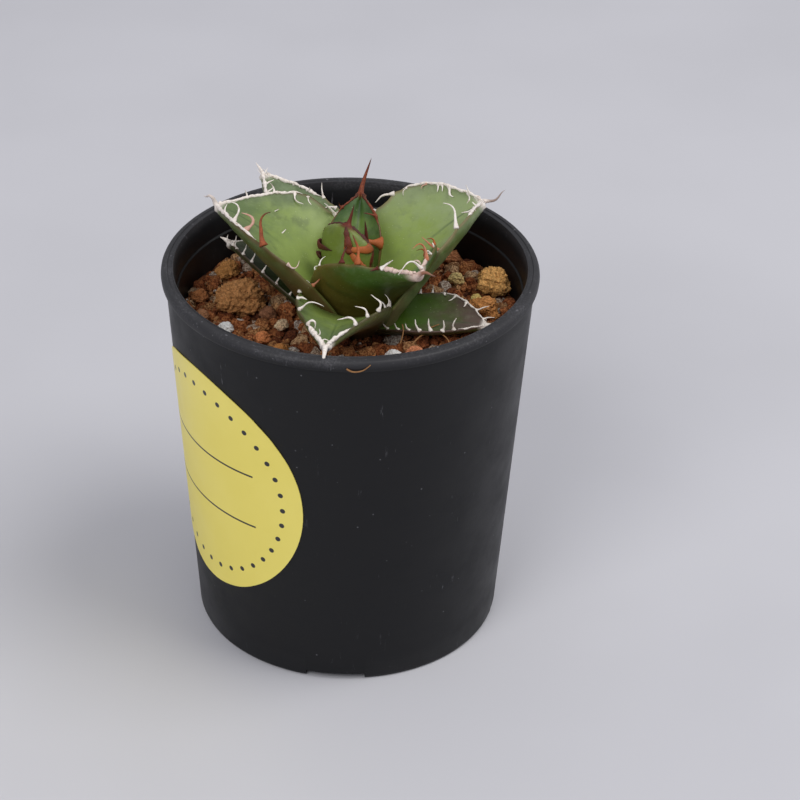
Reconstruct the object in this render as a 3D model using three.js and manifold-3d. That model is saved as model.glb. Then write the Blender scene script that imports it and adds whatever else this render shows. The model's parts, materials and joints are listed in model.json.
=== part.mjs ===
// A small potted agave: a rosette of thick, channelled leaves on a short stem, gravelly soil with
// loose stones, and a tall tapered nursery pot with a round label.
// Millimetres, +Z up. The origin is the middle of the pot's foot, on the surface it stands on.

import * as THREE from 'three';
import { LoftGeometry } from 'three/addons/geometries/LoftGeometry.js';
import { mergeVertices } from 'three/addons/utils/BufferGeometryUtils.js';
import Module from 'manifold-3d';

const wasm = await Module();
wasm.setup();

// ---------------------------------------------------------------- driving dimensions

const CLEARANCE = 0.3;            // air kept between pieces that touch

const POT = {
  height: 79.5,
  rimRadius: 37.5,
  shoulderRadius: 36.6,           // outside of the wall just under the lip
  footRadius: 31.2,
  lipDepth: 2.6,
  lipWidth: 2.5,
  wall: 1.9,
  stepDrop: 5.5,                  // second inner step, below the rim
  stepWidth: 0.3,
  floorTop: 3.0,
  floorUnderside: 1.5,
  footRingWidth: 2.4,
  footEdge: 0.9,                  // rounding of the lower outer edge
  segments: 48,
};
const FOOT_NOTCH = { count: 4, width: 12, height: 1.4, firstHeading: -94.5 };
const DRAIN = { centreRadius: 4, ringRadius: 3, ringAt: 18, count: 6 };

const LABEL = { radius: 25.6, centreHeight: 41.9, heading: -147.9, thickness: 0.3, gap: 0.2 };

const SOIL = { top: 68.4, dish: 1.6, bump: 0.45, rings: 8, segments: 36 };
const STEM = { bottom: 56, top: 71.5, radius: 4.2 };

// Each leaf stands a golden angle on from the one before it. Angles are in degrees.
const GOLDEN_ANGLE = 137.5;
const FIRST_HEADING = -20;
const LEAF_ROOT_RADIUS = 3;       // where the midribs start, from the plant's axis

// order    place in the spiral; the heading is counted from +X towards +Y
// lean     how far the leaf stands off its place in the spiral
// root     height of the midrib's start
// rise     slope of the midrib, at the foot and at the tip
// swing    turn of the midrib towards its left along the leaf
// width    greatest width over the upper face, at the fraction widest of the length
// neck     width at the foot, as a fraction of the greatest width
// point    power of the curve that draws the blade in to its tip; 1 is straight
// cup      half angle of the channel across the blade, at the foot and at the tip
// roll     twist about the midrib, at the foot and at the tip
// belly    thickness of the blade below its upper face, at the foot
// spine    length of the end spine, with its lift and swing off the midrib
const LEAVES = {
  leaf_low_left: { order: -4, lean: -3, root: 66, length: 28, rise: [36, 5], swing: 3, width: 17,
    widest: 0.47, neck: 0.75, point: 1.9, cup: [30, 27], roll: [1, 15], belly: 2.2,
    spine: [2.5, 20, 0] },
  leaf_low_right: { order: 0, lean: 0, root: 66.5, length: 25.5, rise: [19, 1], swing: 4, width: 17.5,
    widest: 0.53, neck: 0.75, point: 2.0, cup: [29, 22], roll: [-5, -1], belly: 2.0,
    spine: [2.5, 15, 0] },
  leaf_back_left: { order: 1, lean: 1, root: 67, length: 35, rise: [40, 20], swing: 9, width: 19.5,
    widest: 0.42, neck: 0.75, point: 1.8, cup: [44, 41], roll: [6, 9], belly: 3.2,
    spine: [3.5, 30, 10] },
  leaf_front: { order: 2, lean: 9, root: 67.5, length: 33.4, rise: [43, 3], swing: -4, width: 19,
    widest: 0.43, neck: 0.76, point: 1.8, cup: [48, 38], roll: [-11, 7], belly: 4.0,
    spine: [4.3, 15, 2] },
  leaf_back_right: { order: 3, lean: -4, root: 68, length: 32.5, rise: [48, 28], swing: -13, width: 28.5,
    widest: 0.63, neck: 0.74, point: 2.1, cup: [39, 47], roll: [3, -7], belly: 4.2,
    spine: [5.5, -12, 8] },
  leaf_left: { order: 4, lean: -4, root: 68.5, length: 32.5, rise: [62, 13], swing: -8, width: 30,
    widest: 0.56, neck: 0.75, point: 1.6, cup: [58, 26], roll: [-1, 11], belly: 4.6,
    spine: [5, 10, -10] },
  leaf_front_right: { order: 5, lean: -3, root: 69, length: 28.5, rise: [62, 25], swing: -2, width: 27,
    widest: 0.5, neck: 0.77, point: 2.0, cup: [52, 48], roll: [-18, 1], belly: 3.6,
    spine: [5, -15, 25] },
  leaf_back_inner: { order: 6, lean: -1, root: 69.5, length: 21.5, rise: [71, 44], swing: -3, width: 12,
    widest: 0.5, neck: 0.75, point: 2.1, cup: [57, 43], roll: [-2, -4], belly: 2.4,
    spine: [9.5, 38, -6] },
  leaf_young: { order: 7, lean: -2, root: 70, length: 19, rise: [81, 112], swing: -6, width: 12.5,
    widest: 0.75, neck: 0.75, point: 2.5, cup: [57, 32], roll: [4, 20], belly: 1.6,
    spine: [4.5, -8, 0] },
  leaf_bud: { order: 8, lean: 0, root: 71, length: 11.5, rise: [86, 92], swing: 0, width: 5,
    widest: 0.45, neck: 0.8, point: 1.6, cup: [70, 60], roll: [0, 0], belly: 1.4,
    spine: [7, 4, 0] },
};
const BLADE = { stations: 10, around: 12, crown: 0.25, edge: 0.25, flat: 1000,
  spineStations: 4, spineRadius: 0.65, spineEnd: 0.2 };

// Loose stones on the soil: where they lie (x, y, height of the middle) and half sizes along x, y, z.
const STONES = {
  stone_brown_left: { at: [-22.0, 1.5, 70.6], half: [4.9, 4.2, 3.6], turn: 20, colour: 0x7a5232 },
  stone_tan_left: { at: [-25.0, 14.0, 69.8], half: [2.6, 2.2, 1.9], turn: 50, colour: 0xb08a5c },
  stone_tan_right: { at: [29.0, 8.0, 71.2], half: [3.5, 3.1, 2.9], turn: 10, colour: 0xb98a58 },
  stone_tan_low_right: { at: [27.0, 0.2, 69.8], half: [3.3, 2.6, 2.0], turn: -35, colour: 0xae7f4e },
  grain_white_left: { at: [-24.6, -8.3, 69.4], half: [1.7, 1.4, 1.1], turn: 30, colour: 0xe2dccf },
  grain_pale_left: { at: [-13.5, -6.6, 69.2], half: [1.6, 1.3, 1.2], turn: 70, colour: 0xc9ab86 },
  grain_brown_left: { at: [-16.4, -1.6, 69.0], half: [1.7, 1.5, 1.3], turn: 0, colour: 0x6b4630 },
  grain_wall_left: { at: [-30.2, 4.2, 69.3], half: [2.0, 1.6, 1.3], turn: 80, colour: 0xa2764a },
  grain_edge_left: { at: [-29.6, -3.6, 69.3], half: [1.9, 1.5, 1.3], turn: -20, colour: 0x8a5636 },
  grain_front_left: { at: [-17.2, -11.6, 69.1], half: [1.8, 1.5, 1.3], turn: 40, colour: 0x9a6440 },
  grain_front_outer: { at: [-13.6, -16.4, 69.2], half: [1.8, 1.6, 1.3], turn: -50, colour: 0xb07b4a },
  grain_pumice_front: { at: [8.6, -18.6, 69.3], half: [1.9, 1.6, 1.5], turn: 15, colour: 0xd8d4cc },
  grain_orange_front: { at: [4.6, -20.0, 69.1], half: [1.4, 1.3, 1.1], turn: 60, colour: 0xb8682c },
  grain_red_front: { at: [12.8, -17.2, 69.3], half: [2.0, 1.7, 1.4], turn: -25, colour: 0x9c5f43 },
  grain_tan_front: { at: [-3.4, -24.6, 69.2], half: [1.9, 1.6, 1.3], turn: 35, colour: 0xab8250 },
  grain_cream_right: { at: [21.6, 12.2, 69.4], half: [1.6, 1.3, 1.2], turn: -10, colour: 0xd9bf8c },
  grain_cream_small: { at: [25.4, 5.0, 69.0], half: [1.1, 1.0, 0.9], turn: 0, colour: 0xdcb778 },
  grain_cream_edge: { at: [28.8, -6.6, 69.2], half: [1.5, 1.2, 1.1], turn: 45, colour: 0xd6bd92 },
  grain_back_right: { at: [21.0, 21.4, 69.2], half: [1.7, 1.4, 1.2], turn: 25, colour: 0x93603c },
  grain_back: { at: [2.0, 28.6, 69.2], half: [1.9, 1.5, 1.3], turn: 65, colour: 0x8c5a3a },
};

const COLOURS = { pot: 0x222325, label: 0xe9e04c, soil: 0x6d4128, stem: 0xa8a878, leaf: 0x4f7a3c };

// ---------------------------------------------------------------- small helpers

const radians = (degrees) => THREE.MathUtils.degToRad(degrees);
const mix = THREE.MathUtils.lerp;
const polar = (radius, heading, z) => new THREE.Vector3(
  radius * Math.cos(radians(heading)), radius * Math.sin(radians(heading)), z);

// A closed three.js geometry as a solid that can be cut.
function toSolid(geometry) {
  const bare = new THREE.BufferGeometry();
  const flat = geometry.index ? geometry : mergeVertices(geometry);
  bare.setAttribute('position', flat.getAttribute('position'));
  bare.setIndex(flat.getIndex());
  const merged = mergeVertices(bare, 1e-4);
  const index = merged.getIndex().array;
  const corners = [];
  for (let i = 0; i < index.length; i += 3) {
    const [a, b, c] = index.slice(i, i + 3);
    if (a !== b && b !== c && c !== a) corners.push(a, b, c);
  }
  return new wasm.Manifold(new wasm.Mesh({
    numProp: 3,
    vertProperties: new Float32Array(merged.getAttribute('position').array),
    triVerts: new Uint32Array(corners),
  }));
}

function toGeometry(solid) {
  const mesh = solid.getMesh();
  const geometry = new THREE.BufferGeometry();
  geometry.setAttribute('position', new THREE.BufferAttribute(mesh.vertProperties, 3));
  geometry.setIndex(new THREE.BufferAttribute(mesh.triVerts, 1));
  geometry.computeVertexNormals();
  return geometry;
}

const cut = (solid, others) => others.reduce((left, other) => left.subtract(other), solid);

// The largest body of a solid: a cut can leave crumbs beside it.
function mainBody(solid) {
  const bodies = solid.decompose();
  return bodies.reduce((best, body) => (body.volume() > best.volume() ? body : best));
}

const group = new THREE.Group();

function addPiece(name, solid, colour, roughness) {
  const material = new THREE.MeshStandardMaterial({ color: colour, roughness, metalness: 0 });
  const mesh = new THREE.Mesh(toGeometry(mainBody(solid)), material);
  mesh.name = name;
  group.add(mesh);
}

// ---------------------------------------------------------------- pot

const wallRadius = (z) => mix(POT.footRadius, POT.shoulderRadius, z / (POT.height - POT.lipDepth));
const stepHeight = POT.height - POT.stepDrop;
const innerRadius = (z) => wallRadius(z) - POT.wall - (z < stepHeight ? POT.stepWidth : 0);

// Turned about Z from a list of [radius, height] points that starts and ends on the axis.
function turned(profile, segments) {
  const points = profile.map(([radius, height]) => new THREE.Vector2(radius, height));
  const geometry = new THREE.LatheGeometry(points, segments);
  geometry.rotateX(Math.PI / 2);
  return toSolid(geometry);
}

function pot() {
  const { height, rimRadius, lipDepth, lipWidth, footEdge, floorUnderside, floorTop } = POT;
  const lipInner = rimRadius - lipWidth;
  const footInner = POT.footRadius - footEdge - POT.footRingWidth;
  const shell = turned([
    [0, floorUnderside], [footInner, floorUnderside], [footInner + 0.2, 0],
    [POT.footRadius - footEdge, 0], [POT.footRadius - footEdge * 0.25, footEdge * 0.3],
    [wallRadius(footEdge), footEdge],
    [POT.shoulderRadius, height - lipDepth], [rimRadius - 0.2, height - lipDepth + 0.4],
    [rimRadius, height - 1.2], [rimRadius - 0.2, height - 0.4], [rimRadius - 0.7, height],
    [rimRadius - 1.3, height], [rimRadius - 1.4, height - 0.2], [lipInner + 0.4, height - 0.2],
    [lipInner + 0.25, height], [lipInner, height - 0.25],
    [lipInner - 0.05, height - 1.5], [innerRadius(height - 1.8), height - 1.8],
    [wallRadius(stepHeight) - POT.wall, stepHeight], [innerRadius(stepHeight - 0.3), stepHeight - 0.3],
    [innerRadius(floorTop + 1), floorTop + 1], [innerRadius(floorTop) - 1, floorTop], [0, floorTop],
  ], POT.segments);
  return cut(shell, [...footNotches(), ...drainHoles()]);
}

// Gaps in the foot ring that let drained water out from under the pot.
function footNotches() {
  const { count, width, height, firstHeading } = FOOT_NOTCH;
  const depth = 8;
  return Array.from({ length: count }, (_, i) => {
    const heading = firstHeading + (360 / count) * i;
    const box = new THREE.BoxGeometry(depth, width, 2 * height);
    box.rotateZ(radians(heading));
    const at = polar(POT.footRadius - 1, heading, 0);
    box.translate(at.x, at.y, 0);
    return toSolid(box);
  });
}

function drainHoles() {
  const hole = (radius, x, y) => {
    const drill = new THREE.CylinderGeometry(radius, radius, 4 * POT.floorTop, 20);
    drill.rotateX(Math.PI / 2);
    drill.translate(x, y, 0);
    return toSolid(drill);
  };
  const holes = [hole(DRAIN.centreRadius, 0, 0)];
  for (let i = 0; i < DRAIN.count; i++) {
    const at = polar(DRAIN.ringAt, (360 / DRAIN.count) * i, 0);
    holes.push(hole(DRAIN.ringRadius, at.x, at.y));
  }
  return holes;
}

// ---------------------------------------------------------------- label

// A round sticker bent round the tapered wall: a disc whose flat x runs along the wall.
function label() {
  const rings = 5;
  const around = 32;
  const onWall = (ring, turn, lift) => {
    const z = LABEL.centreHeight + LABEL.radius * ring * Math.sin(turn);
    const x = LABEL.radius * ring * Math.cos(turn);
    const radius = wallRadius(z) + LABEL.gap + lift;
    return polar(radius, LABEL.heading + THREE.MathUtils.radToDeg(x / wallRadius(LABEL.centreHeight)), z);
  };
  const sections = [];
  for (let ring = 0; ring <= rings; ring++) sections.push([ring / rings, 0]);
  for (let ring = rings; ring >= 0; ring--) sections.push([ring / rings, LABEL.thickness]);
  const loops = sections.map(([ring, lift]) => Array.from({ length: around },
    (_, i) => onWall(ring, (i / around) * 2 * Math.PI, lift)));
  return toSolid(new LoftGeometry(loops));
}

// ---------------------------------------------------------------- plant

const headingOf = (leaf) => FIRST_HEADING + GOLDEN_ANGLE * leaf.order + leaf.lean;

// Position and axes of the midrib at equal steps along the blade.
function midrib(leaf) {
  const heading = headingOf(leaf);
  const point = polar(LEAF_ROOT_RADIUS, heading, leaf.root);
  const step = leaf.length / BLADE.stations;
  const frames = [];
  for (let i = 0; i <= BLADE.stations; i++) {
    const t = i / BLADE.stations;
    const frame = axes(heading + leaf.swing * t, mix(...leaf.rise, t), mix(...leaf.roll, t));
    if (i > 0) point.addScaledVector(frame.along.clone().add(frames[i - 1].along), step / 2);
    frames.push({ t, point: point.clone(), ...frame });
  }
  return frames;
}

// The axes of a strip: along it, to its left and out of its upper face.
function axes(heading, rise, roll) {
  const ahead = polar(1, heading, 0);
  const along = ahead.clone().multiplyScalar(Math.cos(radians(rise))).setZ(Math.sin(radians(rise)));
  const left = new THREE.Vector3(-ahead.y, ahead.x, 0).applyAxisAngle(along, radians(roll));
  return { along, left, up: along.clone().cross(left) };
}

// Half the blade's width at a fraction t of its length.
function halfWidth(leaf, t) {
  const swell = leaf.neck + (1 - leaf.neck) * Math.sin((Math.PI / 2) * Math.min(t / leaf.widest, 1));
  const taper = 1 - Math.max((t - leaf.widest) / (1 - leaf.widest), 0) ** leaf.point;
  return (leaf.width / 2) * swell * taper;
}

// A ring of points round the blade: a channelled upper face, an arc of the given radius, and a
// rounded belly below it.
function section(frame, half, arcRadius, crown, belly) {
  return Array.from({ length: BLADE.around }, (_, i) => {
    const turn = (i / BLADE.around) * 2 * Math.PI;
    const lean = (half / arcRadius) * Math.cos(turn);
    const outward = Math.sin(turn) * (Math.sin(turn) > 0 ? crown : belly);
    return frame.point.clone()
      .addScaledVector(frame.left, (arcRadius - outward) * Math.sin(lean))
      .addScaledVector(frame.up, arcRadius - (arcRadius - outward) * Math.cos(lean));
  });
}

// A whole leaf, blade and end spine in one piece, grown by a margin all over.
function leafSolid(leaf, grow) {
  const frames = midrib(leaf);
  const rings = frames.map((frame) => {
    const half = Math.max(halfWidth(leaf, frame.t), BLADE.spineRadius) + BLADE.edge;
    const arcRadius = half / radians(mix(...leaf.cup, frame.t));
    const belly = mix(leaf.belly, 2 * BLADE.spineRadius, frame.t);
    return section(frame, half + grow, arcRadius, BLADE.crown + grow, belly + grow);
  });
  const tip = frames[frames.length - 1];
  const [length, lift, swing] = leaf.spine;
  const point = tip.point.clone();
  for (let i = 1; i <= BLADE.spineStations; i++) {
    const t = i / BLADE.spineStations;
    const frame = axes(headingOf(leaf) + leaf.swing + swing * t, leaf.rise[1] + lift * t, leaf.roll[1]);
    point.addScaledVector(frame.along, length / BLADE.spineStations);
    const radius = mix(BLADE.spineRadius, BLADE.spineEnd, t) + grow;
    rings.push(section({ ...frame, point: point.clone() }, radius, BLADE.flat, radius, radius));
  }
  return toSolid(new LoftGeometry(rings, { capStart: true, capEnd: true }));
}

function stem(grow) {
  const { bottom, top, radius } = STEM;
  const shape = [[0, bottom - grow], [radius * 0.35 + grow, bottom - grow], [radius * 0.8 + grow, bottom + 5],
    [radius + grow, bottom + 10], [radius * 0.95 + grow, top - 3], [radius * 0.6 + grow, top + grow * 0.7],
    [0, top + grow]];
  return turned(shape, 20);
}

// ---------------------------------------------------------------- stones and soil

// A stone is a faceted ball pushed in and out by a few slow waves, then squeezed to its half sizes.
function stoneSolid(stone, grow) {
  const ball = new THREE.IcosahedronGeometry(1, 1);
  ball.deleteAttribute('normal');
  ball.deleteAttribute('uv');
  const rough = mergeVertices(ball);
  const position = rough.getAttribute('position');
  const [sx, sy, sz] = stone.half;
  const phase = stone.at[0] * 1.7 + stone.at[1] * 2.3;
  const point = new THREE.Vector3();
  for (let i = 0; i < position.count; i++) {
    point.fromBufferAttribute(position, i);
    const wave = 1 + 0.06 * Math.sin(3 * point.x + phase) + 0.05 * Math.sin(4 * point.y - phase)
      + 0.05 * Math.sin(3.5 * point.z + 2 * phase);
    point.multiplyScalar(wave);
    position.setXYZ(i, point.x * (sx + grow), point.y * (sy + grow), point.z * (sz + grow));
  }
  rough.rotateZ(radians(stone.turn));
  rough.translate(...stone.at);
  return toSolid(rough);
}

const soilHeight = (x, y) => {
  const out = Math.hypot(x, y) / innerRadius(SOIL.top);
  const waves = Math.sin(0.55 * x + 1.1) * Math.sin(0.48 * y + 0.4) + 0.6 * Math.sin(0.9 * x - 0.7 * y);
  return SOIL.top - SOIL.dish * (1 - out * out) + SOIL.bump * waves;
};

// The bulk of the soil: it follows the inside of the pot and has an uneven top.
function soilBulk() {
  const rings = [];
  const ring = (radius, height) => rings.push(Array.from({ length: SOIL.segments }, (_, i) => {
    const at = polar(radius, (360 / SOIL.segments) * i, 0);
    at.z = height(at.x, at.y);
    return at;
  }));
  const bottom = POT.floorTop + CLEARANCE;
  const edge = (z) => (innerRadius(z) - CLEARANCE) * Math.cos(Math.PI / POT.segments);
  ring(0, () => bottom);
  ring(edge(bottom) - 1.2, () => bottom);
  ring(edge(bottom + 1.2), () => bottom + 1.2);
  for (let i = 0; i <= SOIL.rings; i++) ring(edge(SOIL.top - 1) * (1 - i / SOIL.rings), soilHeight);
  return toSolid(new LoftGeometry(rings));
}

// ---------------------------------------------------------------- assembly

addPiece('pot', pot(), COLOURS.pot, 0.6);
addPiece('label', label(), COLOURS.label, 0.5);
addPiece('stem', stem(0), COLOURS.stem, 0.7);

// From the heart outwards, each leaf makes room for the stem and for the younger leaves inside it.
const rosette = Object.entries(LEAVES).reverse();
const grownLeaves = [];
for (const [name, leaf] of rosette) {
  const body = cut(leafSolid(leaf, 0), [stem(CLEARANCE), ...grownLeaves]);
  addPiece(name, body, COLOURS.leaf, 0.5);
  grownLeaves.push(leafSolid(leaf, CLEARANCE));
}

const grownStones = [];
for (const [name, stone] of Object.entries(STONES)) {
  addPiece(name, cut(stoneSolid(stone, 0), [...grownLeaves, ...grownStones]), stone.colour, 0.9);
  grownStones.push(stoneSolid(stone, CLEARANCE));
}

addPiece('soil_mix', cut(soilBulk(), [stem(CLEARANCE), ...grownLeaves, ...grownStones]), COLOURS.soil, 0.95);

export default group;
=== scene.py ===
"""A small potted agave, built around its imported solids.

The rosette's leaves, the gravelly soil, the loose stones and the tapered nursery pot are each a
piece of their own. Lengths in the tables are millimetres and angles are degrees; the scene itself
is in metres, with +Z up and the origin under the middle of the pot's foot.
"""

import json
import math
import random
from collections import namedtuple

import bpy
from bpy.props import FloatProperty, FloatVectorProperty, IntProperty, PointerProperty
from bpy.types import Operator, Panel, PropertyGroup
from mathutils import Euler, Matrix, Quaternion, Vector, noise
from mathutils.bvhtree import BVHTree

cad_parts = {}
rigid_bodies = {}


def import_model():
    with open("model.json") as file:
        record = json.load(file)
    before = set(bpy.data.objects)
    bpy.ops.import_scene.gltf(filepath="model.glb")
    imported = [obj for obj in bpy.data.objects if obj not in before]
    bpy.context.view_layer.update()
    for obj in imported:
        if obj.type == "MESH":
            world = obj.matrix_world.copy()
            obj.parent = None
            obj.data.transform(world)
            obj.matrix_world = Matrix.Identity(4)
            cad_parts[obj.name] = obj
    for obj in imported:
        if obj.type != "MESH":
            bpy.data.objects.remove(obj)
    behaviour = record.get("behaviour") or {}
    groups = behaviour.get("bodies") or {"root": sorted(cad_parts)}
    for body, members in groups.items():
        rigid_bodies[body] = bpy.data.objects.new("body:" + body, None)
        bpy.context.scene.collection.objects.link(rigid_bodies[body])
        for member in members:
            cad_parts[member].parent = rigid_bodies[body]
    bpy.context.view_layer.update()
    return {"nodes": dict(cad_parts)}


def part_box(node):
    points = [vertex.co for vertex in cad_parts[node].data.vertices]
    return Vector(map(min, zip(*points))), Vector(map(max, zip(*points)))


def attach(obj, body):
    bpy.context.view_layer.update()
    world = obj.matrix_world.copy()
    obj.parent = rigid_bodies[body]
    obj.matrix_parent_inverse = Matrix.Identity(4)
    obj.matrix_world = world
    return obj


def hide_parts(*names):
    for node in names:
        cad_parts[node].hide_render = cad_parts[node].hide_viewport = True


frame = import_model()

bl_info = {
    "name": "Potted agave",
    "version": (1, 0, 0),
    "blender": (4, 5, 0),
    "location": "3D View > Sidebar > Agave",
    "description": "Builds a small potted agave around its packed solids",
    "category": "Add Mesh",
}

MM = 0.001
BODY = "root"
POT_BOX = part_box("pot")

# ---------------------------------------------------------------- sizes shared by the pieces

POT_HEIGHT = round(POT_BOX[1].z / MM, 2)
RIM_RADIUS = 37.5
SHOULDER_RADIUS = 36.6
FOOT_RADIUS = 31.2
LIP_DEPTH = 2.6
WALL = 1.9
STEP_HEIGHT = POT_HEIGHT - 5.5
STEP_WIDTH = 0.3
FLOOR_TOP = 3.0
FLOOR_UNDERSIDE = 1.5

SOIL_TOP = 68.4
SOIL_DISH = 1.6
SOIL_BUMP = 0.45

GOLDEN_ANGLE = 137.5
FIRST_HEADING = -20
LEAF_ROOT_RADIUS = 3
EDGE = 0.25                 # roundness of the blade's margin
CROWN = 0.25                # swell of the upper face
SPINE_RADIUS = 0.65
SPINE_ROWS = 16
BORDER_STEPS = 46
TOOTH_STEPS = 16
TOOTH_SUNK = 0.3            # how deep a tooth's root sits in the margin
PRESSED_STEPS = 12

DRAIN_HOLES = [(4, 0, 0)] + [(3, 18, 60 * i) for i in range(6)]   # radius, way out, heading
NOTCHES = [-94.5 + 90 * i for i in range(4)]                      # headings round the foot
NOTCH_SIZE = (8 * MM, 12 * MM, 2.8 * MM)
CUTTER_DEPTH = 12 * MM

LABEL_LIFT = 0.22           # the label's outer face, off the wall
LABEL_CURL = 0.1            # how far its edge waves
LABEL_THICKNESS = 0.16
LABEL_RINGS = 14
RULE_OFFSET = 6.2           # the two plain rules, above and below the middle
RULE_END = 15.2
DOT_RING = 21.4
DOT_RADIUS = 0.62
DOT_PITCH = 10

GRAIN_SMALLEST = 0.26
GRAIN_SPREAD = 1.25
GRAIN_RARITY = 4.2          # how much rarer the large grains are
HAIR_RADIUS = 0.19

CAMERA_PLACE = Vector((0, -466.2, 342.1))
CAMERA_AIM = Vector((10.33, 0, 47.74))
CAMERA_TILT = 1.21
CAMERA_LENS = 121.5
LAMP_AIM = Vector((0, 0, 0.05))
# Soft lamps: place and breadth in metres, share of the key light's power, and colour.
LAMPS = [
    ("key_light", (0.75, -0.2, 1.4), 0.9, 1.0, (1.0, 0.985, 0.95)),
    ("front_light", (-0.6, -1.05, 1.15), 0.9, 0.95, (1.0, 0.99, 0.97)),
    ("side_light", (1.3, 0.5, 0.6), 0.7, 0.16, (0.97, 0.98, 1.0)),
]

# order, lean, root: place in the spiral, angle off that place, and height of the midrib's start
# rise, swing, roll: slope of the midrib, its turn to the left, and twist about it
# width, widest, neck, point: breadth, where it is widest, breadth of the foot, and how the tip
# draws in
# cup, belly: half angle of the channel, and thickness below the upper face
# spine: length of the end spine, its lift and its swing
LEAVES = {
    "leaf_low_left": dict(order=-4, lean=-3, root=66, length=28, rise=(36, 5), swing=3, width=17,
                          widest=0.47, neck=0.75, point=1.9, cup=(30, 27), roll=(1, 15), belly=2.2,
                          spine=(2.5, 20, 0)),
    "leaf_low_right": dict(order=0, lean=0, root=66.5, length=25.5, rise=(19, 1), swing=4,
                           width=17.5, widest=0.53, neck=0.75, point=2.0, cup=(29, 22),
                           roll=(-5, -1), belly=2.0, spine=(2.5, 15, 0)),
    "leaf_back_left": dict(order=1, lean=1, root=67, length=35, rise=(40, 20), swing=9, width=19.5,
                           widest=0.42, neck=0.75, point=1.8, cup=(44, 41), roll=(6, 9), belly=3.2,
                           spine=(3.5, 30, 10)),
    "leaf_front": dict(order=2, lean=9, root=67.5, length=33.4, rise=(43, 3), swing=-4, width=19,
                       widest=0.43, neck=0.76, point=1.8, cup=(48, 38), roll=(-11, 7), belly=4.0,
                       spine=(5.4, -75, 2)),
    "leaf_back_right": dict(order=3, lean=-4, root=68, length=32.5, rise=(48, 28), swing=-13,
                            width=28.5, widest=0.63, neck=0.74, point=2.1, cup=(39, 47),
                            roll=(3, -7), belly=4.2, spine=(5.5, -12, 8)),
    "leaf_left": dict(order=4, lean=-4, root=68.5, length=32.5, rise=(62, 13), swing=-8, width=30,
                      widest=0.56, neck=0.75, point=1.6, cup=(58, 26), roll=(-1, 11), belly=4.6,
                      spine=(5, 10, -10)),
    "leaf_front_right": dict(order=5, lean=-3, root=69, length=28.5, rise=(62, 25), swing=-2,
                             width=27, widest=0.5, neck=0.77, point=2.0, cup=(52, 48),
                             roll=(-18, 1), belly=3.6, spine=(5, -15, 25)),
    "leaf_back_inner": dict(order=6, lean=-1, root=69.5, length=21.5, rise=(71, 44), swing=-3,
                            width=12, widest=0.5, neck=0.75, point=2.1, cup=(57, 43),
                            roll=(-2, -4), belly=2.4, spine=(7.8, 26, -50)),
    "leaf_young": dict(order=7, lean=-2, root=70, length=19, rise=(81, 112), swing=-6, width=12.5,
                       widest=0.75, neck=0.75, point=2.5, cup=(57, 32), roll=(4, 20), belly=1.6,
                       spine=(4.5, -8, 0)),
    "leaf_bud": dict(order=8, lean=0, root=71, length=11.5, rise=(86, 92), swing=0, width=5,
                     widest=0.45, neck=0.8, point=1.6, cup=(70, 60), roll=(0, 0), belly=1.4,
                     spine=(7, 4, 0)),
}

# How each leaf has aged. heart and tip: colours of the upper face; back: the outer face; flush:
# brown or purple tinge, reaching up to foot; age: 0 for red new horn, 1 for bleached old horn;
# groove: depth of the fold along the midrib; edges: where the horny border starts on the left and
# on the right margin, and its thickness; end: how the end spine waves, its thickness, and how
# brown it has weathered.
LEAF_LOOKS = {
    # The low left leaf's colours are darkened as painted shade, for the shadow under the left leaf.
    "leaf_low_left": dict(heart="#46562a", tip="#3c4426", back="#333c1a", flush="#4a3a2e", age=1.0,
                          foot=0.34, groove=0.2, edges=(0.9, 0.9, 0.2), end=(20, 0.9, 0.0)),
    "leaf_low_right": dict(heart="#405c14", tip="#56463e", back="#3c4a1a", flush="#5f4642", age=0.9,
                           foot=0.3, groove=0.2, edges=(0.55, 0.84, 0.22), end=(10, 0.7, 0.1)),
    "leaf_back_left": dict(heart="#7e9650", tip="#6b7c58", back="#5d6c3a", flush="#7a6a4a", age=1.0,
                           foot=0.34, groove=0.3, edges=(0.78, 0.7, 0.45), end=(25, 0.8, 0.0)),
    "leaf_front": dict(heart="#7c9044", tip="#66784c", back="#5a5c2c", flush="#4e4426", age=1.0,
                       foot=0.6, groove=0.9, edges=(0.85, 0.83, 0.55), end=(12, 1.0, 0.0)),
    "leaf_back_right": dict(heart="#869a4a", tip="#8c9c6c", back="#5c7034", flush="#7a6a4a",
                            age=0.9,
                            foot=0.34, groove=0.2, edges=(0.66, 0.87, 0.4), end=(-28, 0.6, 0.85)),
    "leaf_left": dict(heart="#84984a", tip="#5f7244", back="#56602c", flush="#57401e", age=0.78,
                      foot=0.62, groove=0.2, edges=(0.66, 0.62, 0.44), end=(60, 0.8, 0.3)),
    "leaf_front_right": dict(heart="#6f8c3c", tip="#4a6c2a", back="#3c5414", flush="#665420",
                             age=0.6,
                             foot=0.8, groove=0.2, edges=(0.9, 0.87, 0.5), end=(15, 0.75, 0.95)),
    "leaf_back_inner": dict(heart="#6e8a38", tip="#3f5c2a", back="#4a6626", flush="#6a3a20",
                            age=0.1,
                            foot=0.3, groove=0.9, edges=(0.8, 0.7, 0.36), end=(0, 0.9, 0.9)),
    "leaf_young": dict(heart="#6c8638", tip="#74863c", back="#6c7c30", flush="#6a2c1c", age=0.05,
                       foot=0.3, groove=0.2, edges=(0.4, 0.3, 0.55), end=(0, 0.7, 0.9)),
    "leaf_bud": dict(heart="#4e5c20", tip="#5a3a1c", back="#46501c", flush="#6a2c1c", age=0.0,
                     foot=0.3, groove=0.2, edges=(0.8, 0.8, 0.2), end=(0, 1.0, 0.8)),
}

Tooth = namedtuple("Tooth", "side t length lean lift curl hook age thickness bend",
                   defaults=(1.0, 1.0, 0.5))

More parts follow.
